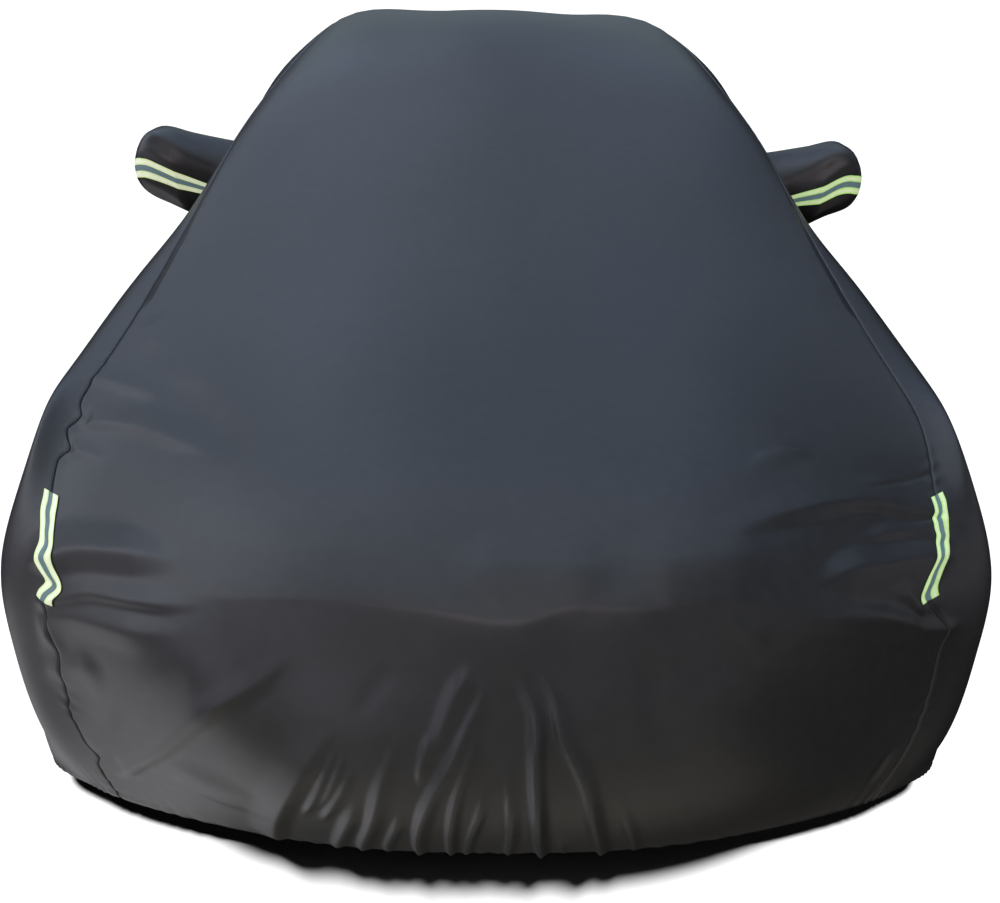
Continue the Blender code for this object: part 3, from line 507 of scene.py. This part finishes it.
def zoned_grid(columns):
    """Places and faces of a grid whose faces widen or narrow from one row zone to the next.

    Inside a zone the faces are quads.  Where the width changes, fans of triangles join the last row
    of one zone to the first row of the next.
    """
    places, quads, fans = [], [], []
    first, start, last, was = 0, 0.0, None, None
    for end, spacing, wide in ROW_ZONES:
        rows = np.linspace(start, end, max(1, int(round((end - start) / spacing))) + 1)
        if last is not None:
            rows = rows[1:]
        across = columns[::wide]
        places.append(np.stack(np.meshgrid(rows, across, indexing="ij"), -1).reshape(-1, 2))
        quads.append(grid_faces(len(rows), len(across), first))
        if last is not None and was == wide:
            a = last + np.arange(len(across) - 1)
            b = first + np.arange(len(across) - 1)
            quads.append(np.stack((a, a + 1, b + 1, b), 1))
        elif last is not None:
            step = max(wide, was)
            low, high = step // was, step // wide          # faces under and over one shared edge
            a = last + low * np.arange((len(columns) - 1) // step)
            b = first + high * np.arange((len(columns) - 1) // step)
            split = (low + 1) // 2 if high == 1 else high // 2
            for i in range(low):
                tip = b + split if high > 1 else b + (i >= split)
                fans.append(np.stack((a + i, a + i + 1, tip), 1))
            for i in range(high):
                tip = a + split if low > 1 else a + (i >= split or high == 1)
                fans.append(np.stack((tip, b + i + 1, b + i), 1))
        last, was = first + (len(rows) - 1) * len(across), wide
        first += len(rows) * len(across)
        start = end
    return np.concatenate(places), (np.concatenate(quads), np.concatenate(fans))


places, faces = zoned_grid(top_columns())
top_cloth = mesh_piece("top_cloth", cloth_point(*places.T), faces, places)
thicken(top_cloth, CLOTH)


def socket(nodes, name, kind, way="INPUT", value=None):
    """One socket on a node group's face."""
    made = nodes.interface.new_socket(name=name, in_out=way, socket_type=kind)
    if value is not None:
        made.default_value = value


def math(tree, operation, a, b=None, c=None):
    """A Math node; a, b and c are sockets or numbers."""
    node = tree.nodes.new("ShaderNodeMath")
    node.operation = operation
    for slot, value in zip(node.inputs, (a, b, c)):
        if isinstance(value, bpy.types.NodeSocket):
            tree.links.new(value, slot)
        elif value is not None:
            slot.default_value = value
    return node.outputs[0]


def oxford_weave():
    """Node group: the height of a plain weave, warp sine times weft sine, on the UV in metres."""
    group = bpy.data.node_groups.new("oxford weave", "ShaderNodeTree")
    socket(group, "Threads per metre", "NodeSocketFloat", value=1100.0)
    socket(group, "Height", "NodeSocketFloat", "OUTPUT")
    ends = group.nodes.new("NodeGroupInput")
    out = group.nodes.new("NodeGroupOutput")
    metres = group.nodes.new("ShaderNodeUVMap")
    metres.uv_map = "metres"
    split = group.nodes.new("ShaderNodeSeparateXYZ")
    group.links.new(metres.outputs[0], split.inputs[0])
    turns = math(group, "MULTIPLY", ends.outputs[0], 2 * np.pi)
    warp = math(group, "SINE", math(group, "MULTIPLY", split.outputs[0], turns))
    weft = math(group, "SINE", math(group, "MULTIPLY", split.outputs[1], turns))
    group.links.new(math(group, "MULTIPLY", warp, weft), out.inputs[0])
    return group


def cloth_wear():
    """Node group: shade, roughness and normal of coated cloth that has been folded and handled.

    The shade is broad noise plus a finer one, the dust a share of two noises' product, and the
    normal takes the crumples of a distorted noise and then the weave.
    """
    group = bpy.data.node_groups.new("handled cloth", "ShaderNodeTree")
    socket(group, "Colour", "NodeSocketColor", value=(0.04, 0.04, 0.04, 1))
    socket(group, "Dust colour", "NodeSocketColor", value=(0.10, 0.10, 0.10, 1))
    socket(group, "Dust", "NodeSocketFloat", value=0.2)
    socket(group, "Roughness", "NodeSocketFloat", value=0.4)
    socket(group, "Creases", "NodeSocketFloat", value=0.2)
    socket(group, "Colour", "NodeSocketColor", "OUTPUT")
    socket(group, "Roughness", "NodeSocketFloat", "OUTPUT")
    socket(group, "Normal", "NodeSocketVector", "OUTPUT")
    ends = group.nodes.new("NodeGroupInput").outputs
    out = group.nodes.new("NodeGroupOutput").inputs
    where = group.nodes.new("ShaderNodeTexCoord").outputs["Object"]

    def noise(scale, detail, distortion=0.0):
        """Noise in object space."""
        cloud = group.nodes.new("ShaderNodeTexNoise")
        cloud.inputs["Scale"].default_value = scale
        cloud.inputs["Detail"].default_value = detail
        cloud.inputs["Distortion"].default_value = distortion
        group.links.new(where, cloud.inputs["Vector"])
        return cloud.outputs["Fac"]

    broad = noise(2.3, 4.0)
    fine = noise(45.0, 3.0)
    shade = math(group, "ADD", math(group, "MULTIPLY_ADD", broad, 0.50, 0.62),
                 math(group, "MULTIPLY", fine, 0.26))
    tint = group.nodes.new("ShaderNodeVectorMath")
    tint.operation = "SCALE"
    group.links.new(ends["Colour"], tint.inputs[0])
    group.links.new(shade, tint.inputs["Scale"])
    dusty = math(group, "MULTIPLY", ends["Dust"], math(group, "MULTIPLY", noise(5.0, 6.0), fine))
    mix = group.nodes.new("ShaderNodeMix")
    mix.data_type = "RGBA"
    group.links.new(dusty, mix.inputs["Factor"])
    group.links.new(tint.outputs[0], mix.inputs[6])
    group.links.new(ends["Dust colour"], mix.inputs[7])
    group.links.new(mix.outputs[2], out["Colour"])
    uneven = math(group, "MULTIPLY_ADD", broad, 0.16, -0.08)
    group.links.new(math(group, "ADD", ends["Roughness"], uneven), out["Roughness"])
    crumple = group.nodes.new("ShaderNodeBump")
    crumple.inputs["Distance"].default_value = 0.004
    group.links.new(ends["Creases"], crumple.inputs["Strength"])
    group.links.new(noise(9.0, 3.0, 0.5), crumple.inputs["Height"])
    weave = group.nodes.new("ShaderNodeGroup")
    weave.node_tree = OXFORD_WEAVE
    threads = group.nodes.new("ShaderNodeBump")
    threads.inputs["Strength"].default_value = 0.12
    threads.inputs["Distance"].default_value = 0.0002
    group.links.new(weave.outputs["Height"], threads.inputs["Height"])
    group.links.new(crumple.outputs["Normal"], threads.inputs["Normal"])
    group.links.new(threads.outputs["Normal"], out["Normal"])
    return group


OXFORD_WEAVE = oxford_weave()
HANDLED_CLOTH = cloth_wear()


def coated_cloth(name, colour, roughness, creases):
    """Charcoal coated oxford: mottled colour, satin gloss, fine weave and shallow crumples."""
    made = bpy.data.materials.new(name)
    made.use_nodes = True
    tree = made.node_tree
    shader = tree.nodes["Principled BSDF"]
    wear = tree.nodes.new("ShaderNodeGroup")
    wear.node_tree = HANDLED_CLOTH
    wear.inputs["Colour"].default_value = (*colour, 1)
    wear.inputs["Roughness"].default_value = roughness
    wear.inputs["Creases"].default_value = creases
    tree.links.new(wear.outputs["Colour"], shader.inputs["Base Color"])
    tree.links.new(wear.outputs["Roughness"], shader.inputs["Roughness"])
    tree.links.new(wear.outputs["Normal"], shader.inputs["Normal"])
    return made


CHARCOAL = (0.040, 0.042, 0.045)
SATIN = 0.36             # roughness of the cloth's coated face
top_cloth.data.materials.append(coated_cloth("coated oxford, centre", CHARCOAL, SATIN, 0.20))
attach(top_cloth, "root")
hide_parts("top_panel")


# ---------------- the side panels
# One panel of the same cloth for each flank, cut to the side view of a saloon and sewn to the
# centre panel.  Its hem is turned over elastic, and the mirror pocket is sewn into its hole.

HOLE_CENTRE = (2.224, 1.028)     # of the pocket's hole, along and girth
HOLE_HALF = (0.102, 0.106)
HOLE_SQUARENESS = 2.8            # exponent of the rounded outline
BENT_TO = 1.55                   # how far out the grid is bent round the hole, in half holes


def wrap_hole(along, girth):
    """Bend a grid round the hole: the square block of its rows and columns becomes a rounded one.

    A place moves out from the hole's centre by its square distance over its rounded distance, fully
    at the rim and less and less outside it.
    """
    u = (along - HOLE_CENTRE[0]) / HOLE_HALF[0]
    v = (np.abs(girth) - HOLE_CENTRE[1]) / HOLE_HALF[1]
    ring = np.maximum(np.abs(u), np.abs(v))
    round_ring = (np.abs(u)**HOLE_SQUARENESS + np.abs(v)**HOLE_SQUARENESS)**(1 / HOLE_SQUARENESS)
    fade = np.clip((BENT_TO - ring) / (BENT_TO - 1), 0, 1)
    fade = np.where(ring < 1, 1, fade * fade * (3 - 2 * fade))
    scale = 1 + fade * (ring / np.maximum(round_ring, 1e-6) - 1)
    return (HOLE_CENTRE[0] + u * scale * HOLE_HALF[0],
            np.sign(girth) * (HOLE_CENTRE[1] + v * scale * HOLE_HALF[1]))


hole_low, hole_high = HOLE_CENTRE[0] - HOLE_HALF[0], HOLE_CENTRE[0] + HOLE_HALF[0]
zones = [(end, spacing) for end, spacing, _ in ROW_ZONES]
at_mirror = 6                    # the zone that holds the hole
rims = [(rim, zones[at_mirror][1]) for rim in (hole_low, hole_high)]
side_rows = spread((0.0, None), *zones[:at_mirror], *rims, *zones[at_mirror:])
side_columns = spread((SEAM + SEAM_GAP / 2, None), (0.824, 0.0035),
                      (HOLE_CENTRE[1] - HOLE_HALF[1], 0.010),
                      (HOLE_CENTRE[1] + HOLE_HALF[1], 0.0125), (1.94, 0.016), (SIDE_HEM, 0.008))
for word, hand in (("left", -1), ("right", 1)):
    grids = np.meshgrid(side_rows, hand * side_columns, indexing="ij")
    along, girth = (grid.ravel() for grid in grids)
    faces = grid_faces(len(side_rows), len(side_columns))
    middle = np.stack((along, np.abs(girth)), 1)[faces].mean(1)
    in_hole = np.all(np.abs(middle - HOLE_CENTRE) < HOLE_HALF, axis=1)
    faces = faces[~in_hole]
    if hand < 0:
        faces = faces[:, ::-1]
    used, faces = np.unique(faces, return_inverse=True)
    places = np.stack(wrap_hole(along, girth), 1)[used]
    side_cloth = mesh_piece("side_cloth_" + word, cloth_point(*places.T), (faces.reshape(-1, 4),),
                            places)
    thicken(side_cloth, CLOTH)
    side_cloth.data.materials.append(coated_cloth("coated oxford, " + word, CHARCOAL, SATIN, 0.20))
    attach(side_cloth, "root")
    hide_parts("side_panel_" + word)


# ---------------- the mirror pockets
# A cup of the same cloth for each wing mirror, sewn into the hole of the side panel.  Its front is
# flat, its top slopes up to the back, and the limp cloth creases from its root outwards.

# Sections outwards: x, centre (y, z), half size front to back and up
POCKET_STATIONS = (
    (0.885, (1.620, 0.996), (0.110, 0.107)),
    (0.930, (1.618, 1.013), (0.105, 0.101)),
    (0.969, (1.616, 1.016), (0.097, 0.088)),
    (0.995, (1.614, 1.009), (0.078, 0.060)),
    (1.008, (1.613, 1.003), (0.056, 0.038)),
)
POCKET_X = [row[0] for row in POCKET_STATIONS]
POCKET_TIP = 1.012
ROOT_GAP = 0.00045               # from the rim of the hole to the root of the pocket
ROOT_HALF = (HOLE_HALF[0] - ROOT_GAP, HOLE_HALF[1] - ROOT_GAP)
COLLAR = 0.0015                  # how far the root stands up before the pocket turns outwards
RULED = 0.3                      # share of a pocket that is ruled from hole to first station
POCKET_COLUMNS = 96
POCKET_CREASES = 0.0030          # height of the creases along a pocket
INK = (0.030, 0.031, 0.034)      # the pockets' cloth is a little darker


def oval(turns, half):
    """Points (forward, up) of the pocket's outline: powers of the cosine and the sine."""
    power = 2 / HOLE_SQUARENESS
    cosine, sine = np.cos(turns), np.sin(turns)
    return (np.sign(cosine) * np.abs(cosine)**power * half[0],
            np.sign(sine) * np.abs(sine)**power * half[1])


def even_turns(half, lengths=None):
    """Angles round the outline at even lengths from its front middle, or at the lengths given."""
    turn = np.linspace(0, 2 * np.pi, 2881)
    forward, up = oval(turn, half)
    run = np.concatenate(((0.0,), np.cumsum(np.hypot(np.diff(forward), np.diff(up)))))
    if lengths is None:
        lengths = np.linspace(0, run[-1], POCKET_COLUMNS, endpoint=False)
    return np.interp(np.mod(lengths, run[-1]), run, turn)


def root_places(hand, turns, lift=0.0):
    """Places (along, girth) on the side panel of the pocket's root, just inside the hole's rim."""
    forward, up = oval(turns, (ROOT_HALF[0] + lift, ROOT_HALF[1] + lift))
    return HOLE_CENTRE[0] - forward, hand * (HOLE_CENTRE[1] - up)


def pocket_out(share):
    """How far out a ring lies: at the first station while ruled, then evenly to the last one."""
    return POCKET_X[0] + (POCKET_X[-1] - POCKET_X[0]) * max(share - RULED, 0) / (1 - RULED)


def pocket_ring(hand, share, turns, lift=0.0):
    """Points of one ring of a pocket: share 0 is its root, 1 the last station before its tip.

    The first rings are ruled from the rim of the hole to the first station, and then a spline
    carries them on.  Creases are slanting sines along the share, and lift stands the ring off.
    """
    table = np.array([(*row[1], *row[2]) for row in POCKET_STATIONS])
    x = pocket_out(share)
    y, z, deep, high = (spline_weights(np.array(POCKET_X), np.array([x])) @ table)[0]
    swell = 0.18 * np.sin(3.1 + 5 * share + 1.3 * hand)
    crease = (np.sin(5 * turns + 4.2 * share + hand) + 0.7 * np.sin(9 * turns - 6.5 * share + 2)
              + swell * np.sin(2 * turns))
    crease *= POCKET_CREASES * np.sin(np.clip(share, 0, 1) * np.pi)**0.7
    crease *= 0.35 + 0.65 * np.cos(turns)**2
    forward, up = oval(turns, (deep + lift, high + lift))
    size = 1 + (crease - POCKET_CREASES) / 0.10
    ring = np.stack((np.full_like(up, hand * x), y - forward * size, z + up * size), 1)
    ring -= ORIGIN
    if share < RULED:
        along, girth = root_places(hand, turns, lift)
        root = cloth_point(along, girth) + COLLAR * normal(cloth_point, along, girth)
        ring = root + (ring - root) * share / RULED
    return ring


POCKET_SHARES = np.concatenate((np.linspace(0, RULED, 5), np.linspace(RULED, 1.0, 15)[1:]))
TIP_RINGS = ((0.72, 0.0022), (0.40, 0.0034))     # past the last station: size, how far out
COLUMN_STEP, RING_STEP = 0.0042, 0.009           # metres of cloth to the next one, for the weave
for word, hand in (("left", -1), ("right", 1)):
    turns = even_turns(HOLE_HALF)
    along, girth = root_places(hand, turns)
    rings = [cloth_point(along, girth) - CLOTH * normal(cloth_point, along, girth)]
    rings += [pocket_ring(hand, share, turns) for share in POCKET_SHARES]
    end_y, end_z = POCKET_STATIONS[-1][1]
    tip = np.array((hand * POCKET_TIP, end_y, end_z)) - ORIGIN
    last = rings[-1]
    for share, out in TIP_RINGS:
        ring = tip + (last - tip) * share
        ring[:, 0] = hand * (abs(last[0, 0]) + out)
        rings.append(ring)
    rows = len(rings)
    points = np.concatenate((*rings, tip[None]))
    column = np.arange(POCKET_COLUMNS)
    beside = (column + 1) % POCKET_COLUMNS
    start = (np.arange(rows - 1) * POCKET_COLUMNS)[:, None]
    sides = np.stack((start + column, start + beside, start + POCKET_COLUMNS + beside,
                      start + POCKET_COLUMNS + column), -1).reshape(-1, 4)
    last_ring = (rows - 1) * POCKET_COLUMNS
    middle = np.full_like(column, len(points) - 1)
    cap = np.stack((last_ring + column, last_ring + beside, middle), 1)
    if hand > 0:
        sides, cap = sides[:, ::-1], cap[:, ::-1]
    round_it = np.tile(column * COLUMN_STEP, rows)
    outwards = np.repeat(np.arange(rows) * RING_STEP, POCKET_COLUMNS)
    uv = np.append(np.stack((round_it, outwards), 1), ((0.0, rows * RING_STEP),), axis=0)
    pocket_cloth = mesh_piece("pocket_cloth_" + word, points, (sides, cap), uv)
    thicken(pocket_cloth, CLOTH)
    pocket_cloth.data.materials.append(
        coated_cloth("coated oxford, pocket " + word, INK, SATIN, 0.3))
    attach(pocket_cloth, "root")
    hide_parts("mirror_pocket_" + word)


# ---------------- the reflective tape
# Short strips of woven tape, sewn on flat: one over the seam at each front corner and one along
# the front of each mirror pocket.  Lime edges with a whitish painted sheen down them, a grey band
# of tiny glass beads between, and a painted glow over all of it.

TAPE = 0.0010                    # thickness of the tape
TAPE_WIDTH = 0.052
TAPE_STAND = 0.0004              # from the cloth under it
TAPE_RIB = 0.0022                # pitch of its ribs
TAPE_CLIMB = {-1: 0.020, 1: 0.016}       # of a pocket's tape, from root to tip
STRIP_ALONG = {-1: (0.520, 0.730), 1: (0.560, 0.765)}    # where a front strip starts and ends
LIME = {-1: (0.76, 0.92, 0.42), 1: (0.52, 0.90, 0.26)}
# painted sheen: a whitish lime down the middle of each lime band of the tape, standing in for its
# shine
PAINTED_SHEEN_LIME = {-1: (0.93, 0.98, 0.80), 1: (0.86, 0.97, 0.62)}
BEADS = (0.125, 0.200, 0.225)
THREAD = (0.012, 0.018, 0.010)
PAINTED_GLOW = 0.45                      # painted glow: how strongly the tape gives out its own colours as light


def reflective_tape(name, lime, painted_sheen):
    """Tape in bands: UV across it picks a dark thread, lime with a whitish painted sheen down its
    middle, grey beads, lime with the same painted sheen and a dark thread.  All of it is also given
    out as a painted glow.
    """
    made = bpy.data.materials.new(name)
    made.use_nodes = True
    tree = made.node_tree
    shader = tree.nodes["Principled BSDF"]
    metres = tree.nodes.new("ShaderNodeUVMap")
    metres.uv_map = "metres"
    split = tree.nodes.new("ShaderNodeSeparateXYZ")
    tree.links.new(metres.outputs[0], split.inputs[0])
    bands = tree.nodes.new("ShaderNodeValToRGB")
    ramp = bands.color_ramp
    # the whitish stops inside each lime band are the painted sheen
    edges = ((0.00, THREAD), (0.025, THREAD), (0.045, lime), (0.19, painted_sheen), (0.335, lime),
             (0.36, BEADS), (0.50, BEADS), (0.63, BEADS), (0.655, lime), (0.81, painted_sheen),
             (0.955, lime), (0.975, THREAD))
    ramp.elements[0].position, ramp.elements[0].color = edges[0][0], (*edges[0][1], 1)
    ramp.elements[1].position, ramp.elements[1].color = 1.0, (*THREAD, 1)
    for position, colour in edges[1:]:
        ramp.elements.new(position).color = (*colour, 1)
    tree.links.new(math(tree, "DIVIDE", split.outputs[1], TAPE_WIDTH), bands.inputs["Fac"])
    worn = tree.nodes.new("ShaderNodeTexNoise")
    worn.inputs["Scale"].default_value = 90.0
    worn.inputs["Detail"].default_value = 4.0
    tree.links.new(metres.outputs[0], worn.inputs["Vector"])
    shade = tree.nodes.new("ShaderNodeVectorMath")
    shade.operation = "SCALE"
    tree.links.new(bands.outputs["Color"], shade.inputs[0])
    dimming = math(tree, "MULTIPLY_ADD", worn.outputs["Fac"], 0.35, 0.80)
    tree.links.new(dimming, shade.inputs["Scale"])
    tree.links.new(shade.outputs[0], shader.inputs["Base Color"])
    # painted glow: the tape gives out its own colours as light, though it is no lamp
    tree.links.new(shade.outputs[0], shader.inputs["Emission Color"])
    shader.inputs["Emission Strength"].default_value = PAINTED_GLOW
    roughness = math(tree, "MULTIPLY_ADD", worn.outputs["Fac"], 0.2, 0.30)
    tree.links.new(roughness, shader.inputs["Roughness"])
    ribs = math(tree, "SINE", math(tree, "MULTIPLY", split.outputs[0], 2 * np.pi / TAPE_RIB))
    bump = tree.nodes.new("ShaderNodeBump")
    bump.inputs["Strength"].default_value = 0.3
    bump.inputs["Distance"].default_value = 0.0002
    tree.links.new(ribs, bump.inputs["Height"])
    tree.links.new(bump.outputs["Normal"], shader.inputs["Normal"])
    return made


def add_tape(name, skin, out, run, node, lime, painted_sheen, flip):
    """A strip on a grid of points, rows along it and columns across, raised by its thickness."""
    rows, columns = skin.shape[:2]
    across = np.broadcast_to(np.linspace(0, TAPE_WIDTH, columns), (rows, columns))
    down = np.broadcast_to(run[:, None], (rows, columns))
    uv = np.stack((down, across), -1).reshape(-1, 2)
    faces = grid_faces(rows, columns)
    if flip:
        faces = faces[:, ::-1]
    tape = mesh_piece(name, (skin + (TAPE_STAND + TAPE) * out).reshape(-1, 3), (faces,), uv)
    thicken(tape, TAPE)
    tape.data.materials.append(reflective_tape(name.replace("_", " "), lime, painted_sheen))
    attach(tape, "root")
    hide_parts(node)


for word, hand in (("left", -1), ("right", 1)):
    rows = np.linspace(*STRIP_ALONG[hand], 71)
    bow = 0.0018 * ripple(rows, 0.07, hand)
    # girth isn't quite in metres at the corner, so the strip is widened to the tape's real width
    edges = [smooth_point(rows, np.full_like(rows, hand * SEAM + side * TAPE_WIDTH / 2))
             for side in (-1, 1)]
    plain = np.linalg.norm(edges[1] - edges[0], axis=1).mean()
    across = np.linspace(-0.5, 0.5, 15) * TAPE_WIDTH**2 / plain
    along = np.repeat(rows, len(across))
    girth = (hand * SEAM + across + bow[:, None]).ravel()
    skin = cloth_point(along, girth).reshape(len(rows), len(across), 3)
    out = normal(cloth_point, along, girth, 0.004).reshape(skin.shape)
    run = run_along(skin[:, len(across) // 2])
    add_tape("front_tape_" + word, skin, out, run, "strip_front_" + word,
             LIME[hand], PAINTED_SHEEN_LIME[hand], False)

    shares = np.concatenate((np.linspace(0.02, RULED, 9), np.linspace(RULED, 0.985, 33)[1:]))
    lengths = np.linspace(TAPE_WIDTH / 2, -TAPE_WIDTH / 2, 13)
    skin, beside = [], []
    for share in shares:
        half = [np.interp(pocket_out(share), POCKET_X, [row[2][i] for row in POCKET_STATIONS])
                for i in (0, 1)]
        climb = TAPE_CLIMB[hand] * (share - 0.5) + 0.0015 * np.sin(11 * share + hand)
        turns = even_turns(half, lengths + climb)
        skin.append(pocket_ring(hand, share, turns))
        beside.append(pocket_ring(hand, share, turns, 0.001) - skin[-1])
    skin, out = np.array(skin), np.array(beside)
    out /= np.linalg.norm(out, axis=-1, keepdims=True)
    run = run_along(skin[:, len(lengths) // 2])
    add_tape("mirror_tape_" + word, skin, out, run, "strip_mirror_" + word,
             LIME[hand], PAINTED_SHEEN_LIME[hand], hand < 0)


# ---------------- floor, light, camera
# A white studio floor and background, soft light from all round as under an open sky, and the
# camera that looks down at the front of the cover from close by.

GROUND = -ORIGIN[2]
FLOOR_REACH = 400
floor_mesh = bpy.data.meshes.new("studio floor")
floor_mesh.from_pydata([(x * FLOOR_REACH, y * FLOOR_REACH, GROUND)
                        for x, y in ((-1, -1), (1, -1), (1, 1), (-1, 1))], [], [(0, 1, 2, 3)])
studio_floor = bpy.data.objects.new("studio_floor", floor_mesh)
bpy.context.scene.collection.objects.link(studio_floor)
white_floor = bpy.data.materials.new("white floor")
white_floor.use_nodes = True
floor_shader = white_floor.node_tree.nodes["Principled BSDF"].inputs
floor_shader["Base Color"].default_value = (0.9, 0.9, 0.9, 1)
floor_shader["Roughness"].default_value = 1.0
floor_shader["Specular IOR Level"].default_value = 0.0
floor_mesh.materials.append(white_floor)
studio_floor.visible_glossy = False
studio_floor.visible_diffuse = False

world = bpy.data.worlds.new("white studio")
bpy.context.scene.world = world
world.use_nodes = True
backdrop = world.node_tree.nodes["Background"].inputs
backdrop["Color"].default_value = (1.0, 1.0, 1.0, 1)
backdrop["Strength"].default_value = 1.0
world.cycles_visibility.diffuse = False
world.cycles_visibility.glossy = False

floor_only = bpy.data.collections.new("lit floor")
floor_only.objects.link(studio_floor)
cover_only = bpy.data.collections.new("lit cover")
for piece in bpy.context.scene.objects:
    if piece.type == "MESH" and piece is not studio_floor:
        cover_only.objects.link(piece)

# Name, what it lights, where it comes from (degrees round from the right and above the floor), how
# wide it is in degrees, strength, colour.  Only the cover casts shadows.
LAMPS = (
    ("floor light", floor_only, -90, 74, 7, 4.4, (1.0, 1.0, 1.0)),
    ("sky overhead", cover_only, 90, 85, 60, 0.54, (0.89, 1.01, 1.10)),
    ("sky behind, high", cover_only, 90, 58, 60, 0.20, (0.20, 0.36, 1.00)),
    ("sky behind, low", cover_only, 90, 28, 50, 0.18, (0.84, 1.04, 1.11)),
    ("sky left", cover_only, 180, 35, 50, 0.74, (0.91, 0.98, 1.11)),
    ("sky left, behind", cover_only, 135, 45, 50, 0.41, (0.81, 0.97, 1.22)),
    ("sky left, in front", cover_only, 225, 10, 40, 0.32, (1.00, 0.92, 1.08)),
    ("sky left, low", cover_only, 180, 5, 40, 0.16, (1.01, 0.96, 1.03)),
    ("sky right, behind", cover_only, 45, 45, 50, 0.16, (0.73, 0.97, 1.30)),
    ("sky right, in front", cover_only, -45, 10, 40, 0.08, (0.96, 1.02, 1.03)),
    ("sky right, low", cover_only, 0, 5, 40, 0.09, (0.99, 0.97, 1.04)),
    ("sky in front, high", cover_only, -90, 45, 36, 0.50, (1.09, 0.94, 0.97)),
    ("ground on the left", cover_only, 180, -45, 50, 0.36, (0.99, 0.98, 1.03)),
    ("ground in front", cover_only, -90, -40, 100, 0.43, (1.09, 1.04, 0.87)),
)
for name, lit, around, above, wide, strength, colour in LAMPS:
    sun = bpy.data.lights.new(name, "SUN")
    sun.angle = np.radians(wide)
    sun.energy = strength
    sun.color = colour
    lamp = bpy.data.objects.new(name, sun)
    turn, rise = np.radians(around), np.radians(above)
    from_there = Vector((np.cos(turn) * np.cos(rise), np.sin(turn) * np.cos(rise), np.sin(rise)))
    lamp.rotation_euler = from_there.to_track_quat("Z", "Y").to_euler()
    lamp.location = from_there * 5
    lamp.light_linking.receiver_collection = lit
    lamp.light_linking.blocker_collection = cover_only
    bpy.context.scene.collection.objects.link(lamp)

CAMERA_PLACE = (-0.0429, -3.3551, 0.1376)
PITCH_DOWN = 0.5448              # radians, as are the next two
TURN_RIGHT = 0.0261
ROLL = 0.0282
LENS_PIXELS = 799.8              # focal length in pixels of a picture 1000 wide

ahead = np.array((np.sin(TURN_RIGHT) * np.cos(PITCH_DOWN), np.cos(TURN_RIGHT) * np.cos(PITCH_DOWN),
                  -np.sin(PITCH_DOWN)))
level = np.array((np.cos(TURN_RIGHT), -np.sin(TURN_RIGHT), 0.0))
upright = np.cross(level, ahead)
across = np.cos(ROLL) * level + np.sin(ROLL) * upright
upwards = np.cos(ROLL) * upright - np.sin(ROLL) * level
view = bpy.data.cameras.new("photographer")
view.sensor_width = 36.0
view.lens = view.sensor_width * LENS_PIXELS / 1000
view.clip_start = 0.05
view.clip_end = 2000.0
camera = bpy.data.objects.new("photographer", view)
turned = np.eye(4)
turned[:3, 0], turned[:3, 1], turned[:3, 2] = across, upwards, -ahead
turned[:3, 3] = CAMERA_PLACE
camera.matrix_world = Matrix(turned.tolist())
bpy.context.scene.collection.objects.link(camera)
bpy.context.scene.camera = camera
bpy.context.scene.view_settings.view_transform = "Standard"
